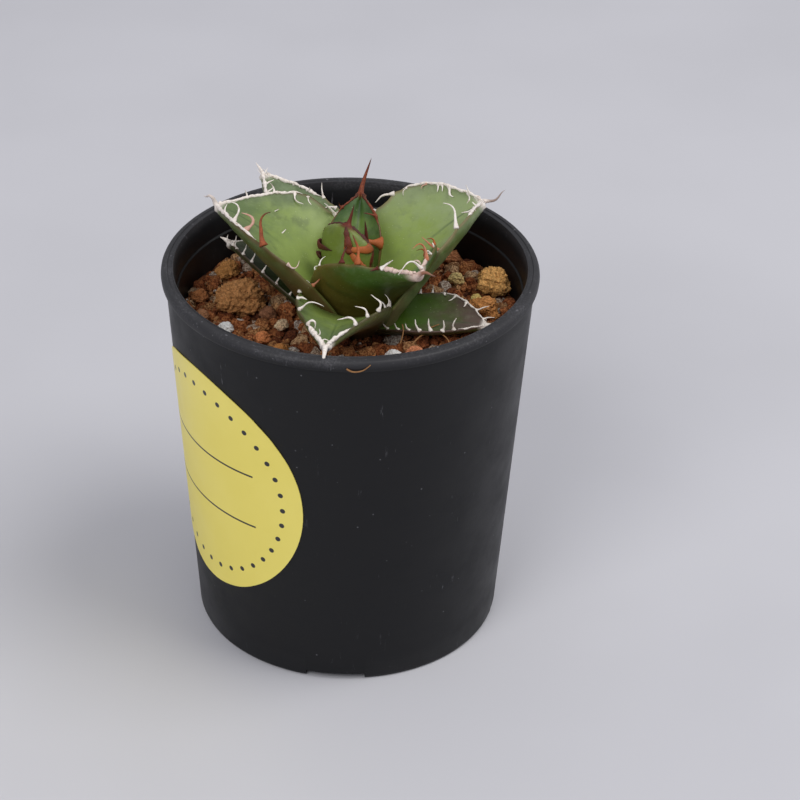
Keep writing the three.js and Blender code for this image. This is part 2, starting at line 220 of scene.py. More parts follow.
# Teeth along the margins: side (1 left, -1 right), place along the blade, length, lean towards the
# tip, lift off the blade, how far the lean and the lift turn by the tooth's end, age, thickness,
# and where along the tooth it bends.
TEETH = {
    "leaf_low_left": [
        (1, 0.99, 1.6, 40, 20, 60, 60), (1, 0.93, 2.0, -20, 50, -60, 60, 1.0, 1.1),
        (1, 0.87, 1.7, 20, 20, 40, 70), (1, 0.78, 2.0, 0, 50, -70, 60, 1.0, 1.1),
        (1, 0.68, 2.0, 0, 50, -70, 60, 1.0, 1.1), (1, 0.56, 2.0, 0, 50, -70, 60, 1.0, 1.1),
        (1, 0.44, 1.7, 0, 50, -50, 60, 1.0, 1.1), (1, 0.32, 1.5, 0, 50, -50, 60),
        (-1, 0.92, 1.8, 20, 20, 40, 70), (-1, 0.8, 2.0, 0, 30, 50, 70, 1.0, 1.1),
        (-1, 0.68, 2.1, 0, 30, -50, 70, 1.0, 1.1), (-1, 0.56, 2.1, 0, 30, 40, 70, 1.0, 1.1),
        (-1, 0.44, 1.8, 0, 30, -40, 70), (-1, 0.32, 1.6, 0, 30, 40, 70)],
    "leaf_low_right": [
        (1, 0.96, 2.2, 70, 5, 10, 0, 1.0, 0.8), (1, 0.88, 2.6, 70, 5, 5, 0, 1.0, 0.9),
        (1, 0.79, 1.5, 185, 10, 0, 20, 1.0, 1.1), (1, 0.68, 1.7, 200, 10, 20, 10),
        (1, 0.58, 1.4, 150, 20, -40, 20), (1, 0.48, 1.6, 0, 20, 40, 60, 0.9),
        (1, 0.38, 1.6, 0, 20, -40, 60, 0.9), (1, 0.27, 1.4, 0, 20, 40, 60, 0.8),
        (-1, 0.815, 2.5, -30, 70, 120, 0, 1.0, 1.2), (-1, 0.735, 2.1, 60, 60, -120, 20, 1.0, 1.3),
        (-1, 0.66, 2.3, -70, 70, -20, 20, 1.0, 1.4), (-1, 0.585, 2.3, -60, 50, -20, 30, 1.0, 1.4),
        (-1, 0.505, 1.4, -60, 40, -20, 30, 1.0, 1.1), (-1, 0.42, 1.3, -40, 40, -40, 30, 1.0, 1.1),
        (-1, 0.33, 1.3, -40, 40, -40, 30)],
    "leaf_back_left": [
        (1, 0.97, 2.2, 60, 0, 20, 0, 1.0, 0.9), (1, 0.99, 1.8, 20, 60, 40, 0, 1.0, 0.9),
        (1, 0.905, 2.1, 0, 100, 0, 20, 1.0, 1.2), (1, 0.84, 1.8, 0, 105, -40, 20, 1.0, 1.1),
        (1, 0.74, 2.6, 0, 20, -60, 80, 1.0, 1.1), (1, 0.62, 3.0, 10, 20, 60, 80, 0.9, 1.2),
        (1, 0.49, 2.8, 0, 20, -50, 90, 0.9, 1.2), (1, 0.36, 2.4, 0, 20, 40, 90, 0.7, 1.2),
        (-1, 0.99, 1.6, 70, 40, 30, 0), (-1, 0.94, 1.6, 100, 20, 60, 40, 1.0, 0.9),
        (-1, 0.86, 2.2, -60, 10, -40, 30, 1.0, 1.1), (-1, 0.79, 1.6, -40, 20, 30, 60, 0.9),
        (-1, 0.69, 3.1, 75, 5, -25, 15, 1.0, 1.0), (-1, 0.60, 2.2, 130, 10, 40, 20, 0.9, 1.3),
        (-1, 0.52, 3.0, 0, 30, 50, 90, 0.9, 1.2), (-1, 0.38, 2.8, 0, 30, -50, 90, 0.7, 1.2)],
    "leaf_front": [
        (-1, 0.38, 4.0, 0, 42, 0, 125, 1.0, 2.0, 0.6), (-1, 0.30, 1.9, 0, 75, 0, 0, 1.0, 1.1),
        (-1, 0.51, 1.7, 0, 120, 0, 30, 1.0, 2.1), (-1, 0.69, 5.2, 0, 95, 0, 65, 1.0, 1.5),
        (-1, 0.83, 3.5, 0, 85, 0, 150, 1.0, 1.6, 0.45), (-1, 0.93, 1.7, 0, 90, 0, -50, 1.0, 1.2),
        (-1, 0.97, 1.6, 0, 90, 0, 70, 1.0, 1.0),
        (1, 0.82, 4.2, 0, 60, 0, 95, 1.0, 1.7, 0.36), (1, 0.72, 3.4, 0, 62, 0, 75, 1.0, 1.6),
        (1, 0.62, 3.9, 0, 22, 0, 85, 1.0, 1.8, 0.4), (1, 0.50, 1.7, 0, 75, 0, 40, 1.0, 1.2),
        (1, 0.42, 2.5, 0, 45, 0, 45, 1.0, 1.5), (1, 0.34, 1.7, 0, 30, 0, 60, 1.0, 1.3)],
    "leaf_back_right": [
        (1, 0.61, 4.3, -50, 0, -45, 0, 1.0, 1.3), (1, 0.69, 1.8, -90, 5, -60, 10, 1.0, 1.0),
        (1, 0.79, 2.0, -80, 20, -60, 30, 0.5, 1.0), (1, 0.84, 1.5, -140, 20, 0, 0, 1.0, 1.1),
        (1, 0.855, 1.3, -150, 20, 0, 0, 1.0, 1.0), (1, 0.885, 2.7, -140, 18, -70, 0, 1.0, 1.7, 0.7),
        (1, 0.965, 1.9, 0, 20, 10, 0, 1.0, 0.9), (1, 0.955, 2.2, -160, 12, 40, 0, 1.0, 1.3),
        (1, 0.98, 2.0, -170, 20, 30, 0, 1.0, 1.2),
        (1, 0.47, 2.8, -20, 10, -60, 40, 0.9, 1.1), (1, 0.35, 2.6, 0, 20, 50, 80, 0.7, 1.2),
        (-1, 0.93, 2.5, -90, 8, 0, 20, 1.0, 2.0), (-1, 0.97, 1.5, -100, 40, 0, 40, 1.0, 1.4),
        (-1, 0.77, 6.4, 90, 58, 0, 80, 0.85, 1.3, 0.72), (-1, 0.60, 4.0, 90, 105, 0, -10, 0.4, 1.4),
        (-1, 0.585, 1.8, 60, 70, 0, 0, 1.0, 1.5),
        (-1, 0.45, 3.6, 60, 60, 0, 90, 0.6, 1.4), (-1, 0.33, 3.2, 60, 60, 0, 90, 0.4, 1.3)],
    "leaf_left": [
        (1, 0.82, 5.4, 90, 85, 0, -95, 0.9, 1.2, 0.6), (1, 0.74, 5.4, 90, 112, 0, -125, 0.5, 1.7),
        (1, 0.61, 7.4, 90, 40, 0, 95, 0.15, 2.0, 0.78), (1, 0.47, 3.4, -80, 5, 0, 110, 0.6, 1.3),
        (1, 0.9, 1.8, 60, 60, 0, 30, 0.9, 1.0), (1, 0.30, 2.6, 0, 40, 0, 90, 0.4, 1.2),
        (-1, 0.66, 3.6, -150, 12, 70, 0, 0.85, 1.2), (-1, 0.59, 1.8, -140, 10, 30, 0, 0.8, 1.0),
        (-1, 0.38, 3.8, 85, 20, 15, -10, 1.0, 2.0), (-1, 0.40, 1.6, 10, 60, 0, 0, 1.0, 1.3),
        (-1, 0.27, 3.4, -60, 20, 60, 30, 0.95, 1.1),
        (-1, 0.76, 2.2, 30, 10, 60, 40, 0.8, 1.0), (-1, 0.88, 1.6, 40, 20, 60, 40, 0.9, 1.0)],
    "leaf_front_right": [
        (-1, 0.45, 2.6, 30, 60, 0, 50, 0.9, 1.0), (-1, 0.36, 1.5, 0, 40, 0, 90, 0.95, 1.0),
        (-1, 0.875, 2.8, 90, 50, 0, -20, 0.9, 1.9), (-1, 0.86, 1.4, -20, -60, 0, 0, 0.02, 2.0),
        (1, 0.985, 6.4, 0, 42, 0, 95, 0.95, 1.5, 0.4), (1, 0.93, 5.6, 0, 22, 0, 120, 0.4, 1.7, 0.6),
        (-1, 0.68, 3.2, 0, 60, 30, 20, 0.03, 2.2), (-1, 0.775, 5.6, 0, 60, 0, -35, 0.22, 2.6),
        (1, 0.86, 2.2, 0, 60, 0, 230, 0.95, 1.0), (1, 0.60, 2.4, 0, 40, 0, 90, 0.3, 1.4),
        (1, 0.42, 2.6, 0, 40, 0, 100, 0.2, 1.4)],
    "leaf_back_inner": [
        (1, 0.85, 1.8, 0, 10, 30, 30, 0.1, 1.1), (-1, 0.79, 2.6, 0, 85, 0, 20, 0.1, 1.2),
        (-1, 0.54, 5.8, 0, 90, 0, 10, 0.25, 3.2), (1, 0.6, 2.4, 0, 20, 40, 60, 0.1, 1.2),
        (1, 0.42, 2.4, 0, 20, -40, 60, 0.05, 1.2)],
    "leaf_young": [(-1, 0.86, 1.2, 0, 60, 0, 40, 0.05), (-1, 0.76, 1.0, 0, 60, 0, 40, 0.05)],
    "leaf_bud": [],
}
TEETH = {name: [Tooth(*row) for row in rows] for name, rows in TEETH.items()}

# Young teeth that still lie flat against the outer face, as (place along, turn round the blade) at
# the start and the end, breadth at both, and age. A turn of 1 is the right margin and 1.5 is the
# middle of the outer face.
PRESSED = {
    "leaf_young": [
        ((0.63, 0.99), (0.70, 1.45), (2.6, 0.6), 0.03),
        ((0.50, 0.99), (0.56, 1.30), (2.2, 1.2), 0.0),
        ((0.74, 1.62), (1.0, 1.56), (1.9, 0.8), 0.08),
        ((0.80, 1.58), (0.57, 1.84), (1.0, 2.2), 0.25),
        ((0.78, 1.56), (0.87, 1.98), (0.9, 2.0), 0.25)],
}

# Loose stones: middle, half sizes, turn, and the slot of their finish.
STONES = {
    "stone_brown_left": ((-22.0, 1.5, 70.6), (4.9, 4.2, 3.6), 20, "stone_brown", "#c48a52"),
    "stone_tan_left": ((-25.0, 14.0, 69.8), (2.6, 2.2, 1.9), 50, "stone_tan", "#ca8e4e"),
    "stone_tan_right": ((29.0, 8.0, 71.2), (3.5, 3.1, 2.9), 10, "stone_tan", "#e0a862"),
    "stone_tan_low_right": ((27.0, 0.2, 69.8), (3.3, 2.6, 2.0), -35, "stone_tan", "#c8884a"),
    "grain_white_left": ((-24.6, -8.3, 69.4), (1.7, 1.4, 1.1), 30, "grain_white", "#f8f6f2"),
    "grain_pale_left": ((-13.5, -6.6, 69.2), (1.6, 1.3, 1.2), 70, "grain_cream", "#f0c8a2"),
    "grain_brown_left": ((-16.4, -1.6, 69.0), (1.7, 1.5, 1.3), 0, "stone_brown", "#966444"),
    "grain_wall_left": ((-30.2, 4.2, 69.3), (2.0, 1.6, 1.3), 80, "stone_tan", "#c47e4a"),
    "grain_edge_left": ((-29.6, -3.6, 69.3), (1.9, 1.5, 1.3), -20, "stone_brown", "#c08860"),
    "grain_front_left": ((-17.2, -11.6, 69.1), (1.8, 1.5, 1.3), 40, "stone_brown", "#cc7e4a"),
    "grain_front_outer": ((-13.6, -16.4, 69.2), (1.8, 1.6, 1.3), -50, "stone_tan", "#d8904c"),
    "grain_pumice_front": ((8.6, -18.6, 69.3), (1.9, 1.6, 1.5), 15, "grain_white", "#f4f0ea"),
    "grain_orange_front": ((4.6, -20.0, 69.1), (1.4, 1.3, 1.1), 60, "grain_orange", "#de8038"),
    "grain_red_front": ((12.8, -17.2, 69.3), (2.0, 1.7, 1.4), -25, "stone_brown", "#d88a60"),
    "grain_tan_front": ((-3.4, -24.6, 69.2), (1.9, 1.6, 1.3), 35, "stone_tan", "#ce9454"),
    "grain_cream_right": ((21.6, 12.2, 69.4), (1.6, 1.3, 1.2), -10, "grain_cream", "#f2ca88"),
    "grain_cream_small": ((25.4, 5.0, 69.0), (1.1, 1.0, 0.9), 0, "grain_cream", "#f0cc7c"),
    "grain_cream_edge": ((28.8, -6.6, 69.2), (1.5, 1.2, 1.1), 45, "grain_cream", "#f2dcae"),
    "grain_back_right": ((21.0, 21.4, 69.2), (1.7, 1.4, 1.2), 25, "stone_brown", "#b2744a"),
    "grain_back": ((2.0, 28.6, 69.2), (1.9, 1.5, 1.3), 65, "stone_brown", "#a86e48"),
}


def linear(code):
    """A #rrggbb colour as linear red, green and blue."""
    parts = (int(code[i:i + 2], 16) / 255 for i in (1, 3, 5))
    return tuple(c / 12.92 if c <= 0.04045 else ((c + 0.055) / 1.055) ** 2.4 for c in parts)


def rgb(colour):
    return linear(colour) if isinstance(colour, str) else colour


def scaled(colour, factor):
    return tuple(factor * c for c in linear(colour))


def mix(a, b, t):
    return a + (b - a) * t


def smooth(low, high, x):
    """0 below low, 1 above high, and a soft step between them."""
    t = min(max((x - low) / (high - low), 0), 1)
    return t * t * (3 - 2 * t)


def polar(radius, heading, z=0.0):
    angle = math.radians(heading)
    return Vector((radius * math.cos(angle), radius * math.sin(angle), z))


def wall_radius(z):
    return mix(FOOT_RADIUS, SHOULDER_RADIUS, z / (POT_HEIGHT - LIP_DEPTH))


def inner_radius(z):
    return wall_radius(z) - WALL - (STEP_WIDTH if z < STEP_HEIGHT else 0)


def soil_height(x, y):
    out = math.hypot(x, y) / inner_radius(SOIL_TOP)
    waves = (math.sin(0.55 * x + 1.1) * math.sin(0.48 * y + 0.4)
             + 0.6 * math.sin(0.9 * x - 0.7 * y))
    return SOIL_TOP - SOIL_DISH * (1 - out * out) + SOIL_BUMP * waves


# ---------------------------------------------------------------- settings


def length(name, description, default):
    """A length that a user sets, with its default in millimetres."""
    return FloatProperty(name=name, description=description, default=default * MM, unit="LENGTH")


def tint(name, description, code):
    return FloatVectorProperty(name=name, description=description, default=linear(code), size=3,
                               subtype="COLOR")


def count(name, description, default):
    return IntProperty(name=name, description=description, default=default)


class StageSettings(PropertyGroup):
    size: length("Floor size", "Side of the floor", 6000)
    colour: tint("Floor colour", "Colour of the floor", "#cbcbd1")
    key_power: FloatProperty(name="Key light", description="Power of the large soft light",
                             default=10.5, unit="POWER")
    sky: FloatProperty(name="Sky", description="Strength of the light from all round",
                       default=0.56)


class PotSettings(PropertyGroup):
    segments: count("Segments", "Facets round the pot", 160)
    rim_radius: length("Rim radius", "Outside of the lip", RIM_RADIUS)
    lip_width: length("Lip width", "Breadth of the lip's top", 2.5)
    colour: tint("Plastic", "Colour of the moulded plastic", "#0c0c0e")
    # Colour of dust and scuffs, also used for the painted highlights on the lip.
    dust_and_sheen: tint("Dust", "Colour of dust and scuffs", "#8b8a90")


class LabelSettings(PropertyGroup):
    radius: length("Radius", "Radius of the round label", 25.6)
    height: length("Height", "Height of the label's middle", 41.9)
    heading: FloatProperty(name="Heading", description="Direction that the label faces",
                           default=math.radians(-147.9), subtype="ANGLE")
    colour: tint("Vinyl", "Colour of the label", "#f6e676")
    ink: tint("Ink", "Colour of the plain rules and dots", "#2b2b2c")


class LeafSettings(PropertyGroup):
    rows: count("Rows", "Rings along each blade", 64)
    around: count("Around", "Points round each blade", 44)
    tooth_width: length("Tooth width", "Thickness of a tooth's root", 0.95)
    old_horn: tint("Old horn", "Bleached teeth and borders", "#efe7e0")
    new_horn: tint("New horn", "Teeth of the youngest leaves", "#5c1e12")


class GroundSettings(PropertyGroup):
    grains: count("Grains", "Small grains on the soil", 3400)
    dark: tint("Dark soil", "Damp crumbs between the grains", "#744228")
    light: tint("Light soil", "Dry crumbs", "#cf8650")


# ---------------------------------------------------------------- shader maths


class Signal:
    """One output of a shader node. Arithmetic on it adds Math or Vector Math nodes."""

    def __init__(self, shader, socket):
        self.shader, self.socket = shader, socket

    def _step(self, operation, first, second):
        pair = (first, second)
        vectors = any(isinstance(x, Signal) and x.socket.type == "VECTOR" for x in pair)
        if vectors:
            pair = tuple((x, x, x) if isinstance(x, (int, float)) else x for x in pair)
        kind = "ShaderNodeVectorMath" if vectors else "ShaderNodeMath"
        return self.shader.node(kind, {"operation": operation}, {0: pair[0], 1: pair[1]})

    def __add__(self, other):
        return self._step("ADD", self, other)

    __radd__ = __add__

    def __sub__(self, other):
        return self._step("SUBTRACT", self, other)

    def __rsub__(self, other):
        return self._step("SUBTRACT", other, self)

    def __mul__(self, other):
        return self._step("MULTIPLY", self, other)

    __rmul__ = __mul__


class Shader:
    """A material made of nodes, with one method that adds any node."""

    def __init__(self, name):
        self.material = bpy.data.materials.new(name)
        self.material.use_nodes = True
        self.tree = self.material.node_tree
        self.tree.nodes.clear()

    def node(self, kind, settings=None, inputs=None, output=0):
        made = self.tree.nodes.new(kind)
        for name, value in (settings or {}).items():
            if name == "stops":
                ramp = made.color_ramp
                while len(ramp.elements) < len(value):
                    ramp.elements.new(0.5)
                for element, (place, colour) in zip(ramp.elements, value):
                    element.position = place
                    element.color = (*rgb(colour), 1)
            else:
                setattr(made, name, value)
        for key, value in (inputs or {}).items():
            socket = made.inputs[key]
            if isinstance(value, Signal):
                self.tree.links.new(value.socket, socket)
            elif socket.type == "RGBA":
                socket.default_value = (*rgb(value), 1)
            else:
                socket.default_value = value
        return Signal(self, made.outputs[output])

    def maths(self, operation, *values):
        """One step of arithmetic that Python has no sign for."""
        return self.node("ShaderNodeMath", {"operation": operation}, dict(enumerate(values)))

    def place(self):
        """Object coordinates, in millimetres."""
        return self.node("ShaderNodeTexCoord", output="Object") * 1000.0

    def parts(self, vector):
        """The x, y and z of a vector."""
        split = self.node("ShaderNodeSeparateXYZ", inputs={0: vector}).socket.node
        return [Signal(self, socket) for socket in split.outputs]

    def mark(self, name):
        """A number kept on the mesh."""
        return self.node("ShaderNodeAttribute", {"attribute_name": name}, output="Fac")

    def noise(self, where, size, detail=2.0, roughness=0.5, distortion=0.0):
        """Soft noise from 0 to 1 whose patches are about size millimetres across."""
        return self.node("ShaderNodeTexNoise", inputs={
            "Vector": where, "Scale": 1 / size, "Detail": detail, "Roughness": roughness,
            "Distortion": distortion})

    def cells(self, where, size, output="Distance"):
        return self.node("ShaderNodeTexVoronoi", inputs={"Vector": where, "Scale": 1 / size},
                         output=output)

    def step(self, value, low, high, start=0.0, end=1.0):
        """A soft step of value from low to high, as start to end."""
        return self.node("ShaderNodeMapRange", {"interpolation_type": "SMOOTHSTEP"}, {
            0: value, 1: low, 2: high, 3: start, 4: end})

    def blend(self, factor, first, second, kind="MIX"):
        """A colour between first and second."""
        return self.node("ShaderNodeMix", {"data_type": "RGBA", "blend_type": kind},
                         {0: factor, 6: first, 7: second}, output=2)

    def bump(self, height, distance, strength=1.0):
        """A normal from a height of 0 to 1 that stands for distance millimetres."""
        return self.node("ShaderNodeBump", inputs={
            "Strength": strength, "Distance": distance * MM, "Height": height})

    def surface(self, **inputs):
        """The finished surface: names are the shader's sockets, with _ for a space."""
        named = {key.replace("_", " "): value for key, value in inputs.items()}
        shaded = self.node("ShaderNodeBsdfPrincipled", inputs=named)
        out = self.tree.nodes.new("ShaderNodeOutputMaterial")
        self.tree.links.new(shaded.socket, out.inputs["Surface"])
        return self.material


def plastic_material(settings):
    """Black moulded plastic with faint bands, rubbed streaks, and dust with painted highlights on
    the lip.
    """
    s = Shader("black_moulded_plastic")
    where = s.place()
    z = s.parts(where)[2]
    bands = s.noise(where * (0.05, 0.05, 1.0), 2.6, 3.0)
    cloud = s.noise(where, 9.0, 3.0, 0.6)
    streak = s.noise(where * (1.0, 1.0, 0.12), 0.9, 4.0, 0.65)
    scratch = s.step(streak, 0.63, 0.72)
    rubbed = s.step(cloud, 0.52, 0.7) * scratch
    lip = s.step(z, POT_HEIGHT - 2.2, POT_HEIGHT - 0.3)
    fine = s.noise(where, 0.45, 4.0, 0.7)
    # Painted highlight lines on the lip's edges, mixed with real wear: noise patches lighten the
    # lip.
    wear_and_glints = lip * s.step(fine * 0.6 + cloud * 0.4, 0.5, 0.64)
    chip = lip * s.step(s.noise(where, 1.3, 3.0, 0.6), 0.66, 0.72)
    speck = s.step(s.cells(where, 2.6), 0.09, 0.04) * s.step(s.noise(where, 6.0), 0.5, 0.6)
    # lip * 0.1 is a painted highlight that lightens the whole top of the lip; rubbed streaks, chips
    # and specks are real wear.
    light = rubbed * 0.45 + lip * 0.1 + wear_and_glints * 0.14 + chip * 0.4 + speck * 0.4
    colour = s.blend(light, s.blend(cloud, settings.colour, "#121316"), settings.dust_and_sheen)
    grain = s.noise(where, 0.35, 3.0, 0.6)
    height = bands * 0.55 + grain * 0.18 + streak * 0.12
    return s.surface(Base_Color=colour, Roughness=s.step(cloud + light * 0.4, 0.2, 1.0, 0.4, 0.62),
                     Normal=s.bump(height, 0.09, 0.6), Specular_IOR_Level=0.27)


def vinyl_material(settings):
    """Yellow label with two plain rules and a ring of dots."""
    s = Shader("yellow_vinyl")
    flat = s.node("ShaderNodeAttribute", {"attribute_name": "flat"}, output="Vector")
    x, y, _ = s.parts(flat)
    away = s.node("ShaderNodeVectorMath", {"operation": "LENGTH"}, {0: flat}, output="Value")
    height, reach = s.maths("ABSOLUTE", y), s.maths("ABSOLUTE", x)
    rule = s.step(s.maths("ABSOLUTE", height - RULE_OFFSET), 0.26, 0.16)
    rule = rule * s.step(reach, RULE_END, RULE_END - 0.2)
    turn = s.maths("ARCTAN2", y, x)
    along = s.maths("PINGPONG", turn, math.radians(DOT_PITCH / 2)) * DOT_RING
    offset = away - DOT_RING
    dot = s.maths("SQRT", along * along + offset * offset)
    ink = s.maths("MAXIMUM", rule, s.step(dot, DOT_RADIUS, DOT_RADIUS - 0.12))
    where = s.place()
    fade = s.noise(where, 14.0, 3.0)
    yellow = s.blend(fade, settings.colour, "#ecdb66")
    rub = s.step(s.noise(where, 0.7, 5.0, 0.7), 0.62, 0.75) * 0.25
    colour = s.blend(ink, s.blend(rub, yellow, "#efe8a8"), settings.ink)
    return s.surface(Base_Color=colour, Roughness=s.step(fade, 0.3, 0.7, 0.34, 0.46),
                     Normal=s.bump(s.noise(where, 1.6, 4.0, 0.6), 0.03, 0.5))


def leaf_material(name, look, settings):
    """A leaf's skin: green with bloom, tinged foot and outer face, and horn by the horn mark."""
    s = Shader(name + "_skin")
    where = s.place()
    along, across, upper = s.mark("along"), s.mark("across"), s.mark("upper")
    horn, age, reach = s.mark("horn"), s.mark("age"), s.mark("reach")
    patch = s.noise(where, 5.0, 4.0, 0.6)
    fine = s.noise(where, 0.5, 3.0, 0.6)
    side = s.maths("ABSOLUTE", across)
    ripe = s.step(along + (patch - 0.5) * 0.7 + side * 0.12, 0.45, 0.95)
    face = s.blend(ripe, look["heart"], look["tip"])
    foot = s.step(along + (patch - 0.5) * 0.3, look["foot"], look["foot"] * 0.4)
    back = s.blend(s.step(patch, 0.35, 0.7) * 0.5, look["back"], look["tip"])
    back = s.blend(foot * 0.85, back, look["flush"])
    green = s.blend(upper, back, face)
    mottle = s.step(s.noise(where, 3.4, 5.0, 0.65), 0.5, 0.72) * s.step(along, 0.2, 0.6)
    green = s.blend(mottle * 0.55, green, scaled(look["tip"], 0.55))
    glow = s.step(along + (patch - 0.5) * 0.6 + side * 0.35, 0.62, 0.3) * upper
    green = s.blend(glow * 0.4, green, scaled(look["heart"], 1.25))
    rim = s.step(side + (patch - 0.5) * 0.5, 0.6, 1.05) * upper * s.step(along, 0.3, 0.6)
    green = s.blend(rim * 0.6, green, scaled(look["tip"], 0.6))
    bloom = s.step(s.noise(where, 2.2, 5.0, 0.65), 0.45, 0.75) * s.step(along, 0.25, 0.8)
    green = s.blend(bloom * 0.13, green, "#a9b394")
    speck = s.step(s.cells(where, 0.8), 0.17, 0.05) * s.step(s.noise(where, 1.7), 0.45, 0.6)
    green = s.blend(speck * 0.4, green, "#c8d6a0")
    # Painted shade: the fold along the midrib of the upper face is darkened.
    fold = s.step(side, 0.05, 0.0) * s.step(along, 0.45, 0.85) * upper
    green = s.blend(fold * 0.6, green, "#2c4426")
    border = s.step(side, 0.93, 1.0) * s.step(along, 0.1, 0.5)
    green = s.blend(border * 0.8, green, look["flush"])
    fibre = s.noise(where, 0.6, 4.0, 0.7, 0.6)
    old = s.blend(s.step(fibre, 0.45, 0.8), settings.old_horn, "#b39a88")
    old = s.blend(s.step(fibre, 0.64, 0.8) * 0.5, old, "#6a4434")
    old = s.blend(s.step(reach, 0.02, 0.35) * look["end"][2], old, "#7d6356")
    new = s.blend(s.step(age + (fibre - 0.5) * 0.3, 0.02, 0.3), settings.new_horn,
                  "#b4602e")
    new = s.blend(s.step(reach, 0.5, 1.0) * 0.75, new, "#3a2018")
    bony = s.blend(s.step(age + (fibre - 0.5) * 0.4, 0.3, 0.8), new, old)
    colour = s.blend(horn, green, bony)
    height = fine * 0.3 + s.noise(where, 1.6, 3.0) * 0.7
    return s.surface(Base_Color=colour,
                     Roughness=s.step(patch + horn * 0.5, 0.3, 1.1, 0.42, 0.68),
                     Normal=s.bump(height, 0.12, 0.45), Specular_IOR_Level=0.45)


def stone_material(name, colour, pit_shade):
    """Porous baked clay or pumice: blotches, pits darkened as painted shade, and dusty high spots.
    """
    s = Shader(name)
    where = s.place()
    tone = linear(colour)
    pale = tuple(min(1, c * 1.35 + 0.03) for c in tone)
    blotch = s.noise(where, 1.3, 5.0, 0.65)
    pits = s.step(s.noise(where, 0.38, 4.0, 0.7), 0.42, 0.6)
    body = s.blend(s.step(blotch, 0.3, 0.7), tone, pale)
    # Painted shade: the pits are darkened towards 0.4 of the stone's colour.
    body = s.blend((1 - pits) * pit_shade, body, scaled(colour, 0.4))
    height = s.noise(where, 0.5, 6.0, 0.7)
    return s.surface(Base_Color=body, Roughness=s.step(blotch, 0.2, 0.8, 0.82, 0.97),
                     Normal=s.bump(height, 0.6, 1.0), Specular_IOR_Level=0.3)


def soil_material(settings):
    s = Shader("crumbly_soil")
    where = s.place()
    crumb = s.noise(where, 1.1, 6.0, 0.7)
    body = s.blend(s.step(crumb, 0.38, 0.72), settings.dark, settings.light)
    # Painted shade: hollows between the crumbs are darkened almost to black.
    hole = s.step(s.noise(where, 2.4, 4.0, 0.6), 0.5, 0.34)
    body = s.blend(hole * 0.7, body, "#1e110b")
    return s.surface(Base_Color=body, Roughness=s.step(crumb, 0.2, 0.8, 0.85, 0.98),
                     Normal=s.bump(crumb, 0.6, 1.0), Specular_IOR_Level=0.25)


def gravel_material():
    """Mixed grains: the tone mark picks each grain's clay."""
    s = Shader("mixed_gravel")
    where = s.place()
    tone = s.mark("tone")
    body = s.node("ShaderNodeValToRGB", {"stops": [
        (0.0, "#6b3c26"), (0.2, "#b0683c"), (0.55, "#d68a54"),
        (0.78, "#dda268"), (0.9, "#e6c498"), (0.98, "#f4eee2")]},
        {0: tone})
    blotch = s.noise(where, 0.7, 5.0, 0.7)
    body = s.blend(s.step(blotch, 0.62, 0.3) * 0.75, body, "#9a7a66", "MULTIPLY")
    # Painted shade: the pits of each grain are darkened.
    pits = s.step(s.noise(where, 0.4, 4.0, 0.7), 0.56, 0.42)
    body = s.blend(pits * 0.8, body, "#8a6250", "MULTIPLY")
    return s.surface(Base_Color=body, Roughness=s.step(blotch, 0.2, 0.8, 0.84, 0.97),
                     Normal=s.bump(s.noise(where, 0.45, 6.0, 0.75), 0.6, 1.0),
                     Specular_IOR_Level=0.3)


def fibre_material():
    s = Shader("dry_root")
    where = s.place()
    streak = s.noise(where, 0.6, 4.0)
    colour = s.blend(streak, "#6e4524", "#a57a4a")
    return s.surface(Base_Color=colour, Roughness=s.step(streak, 0.2, 0.8, 0.7, 0.85))


def stem_material():
    s = Shader("pale_stem")
    streak = s.noise(s.place() * (1.0, 1.0, 0.2), 0.8, 4.0)
    colour = s.blend(streak, "#8c8c58", "#b5b284")
    return s.surface(Base_Color=colour, Roughness=s.step(streak, 0.2, 0.8, 0.6, 0.75),
                     Normal=s.bump(streak, 0.2, 0.5))


def floor_material(settings):
    s = Shader("pale_board")
    where = s.place()
    cloud = s.noise(where, 120.0, 3.0, 0.5)
    fleck = s.step(s.cells(where, 36.0), 0.022, 0.008) * s.step(s.noise(where, 50.0), 0.5, 0.56)
    darker = tuple(c * 0.94 for c in settings.colour)
    body = s.blend(s.step(cloud, 0.35, 0.65), settings.colour, darker)
    body = s.blend(fleck * 0.5, body, "#8d9296")
    return s.surface(Base_Color=body, Roughness=s.step(cloud, 0.3, 0.7, 0.6, 0.7),
                     Specular_IOR_Level=0.3)


# ---------------------------------------------------------------- modelling helpers


def deselect():
    bpy.ops.object.select_all(action="DESELECT")


def activate(*pieces):
    deselect()
    for piece in pieces:
        piece.select_set(True)
    bpy.context.view_layer.objects.active = pieces[0]


def edit(select="SELECT"):
    bpy.ops.object.mode_set(mode="EDIT")
    bpy.ops.mesh.select_all(action=select)


def leave_edit():
    bpy.ops.object.mode_set(mode="OBJECT")


def apply_modifier(piece, kind, **settings):
    """Adds a modifier and applies it."""
    activate(piece)
    bpy.ops.object.modifier_add(type=kind)
    modifier = piece.modifiers[-1]
    for name, value in settings.items():
        setattr(modifier, name, value)
    bpy.ops.object.modifier_apply(modifier=modifier.name)


def settle(piece):
    """Puts a piece's place, turn and size into its mesh."""
    activate(piece)
    bpy.ops.object.transform_apply(location=True, rotation=True, scale=True)


def finish_piece(piece, name, slot, material, *nodes, smooth_angle=None):
    """Names a piece, gives it its finish, attaches it to the body and hides the solids that it
    stands for.
    """
    piece.name = piece.data.name = name
    piece.data.materials.clear()
    piece.data.materials.append(material)
    activate(piece)
    if smooth_angle is None:
        bpy.ops.object.shade_smooth()
    else:
        bpy.ops.object.shade_smooth_by_angle(angle=math.radians(smooth_angle))
    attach(piece, BODY)
    if nodes:
        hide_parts(*nodes)


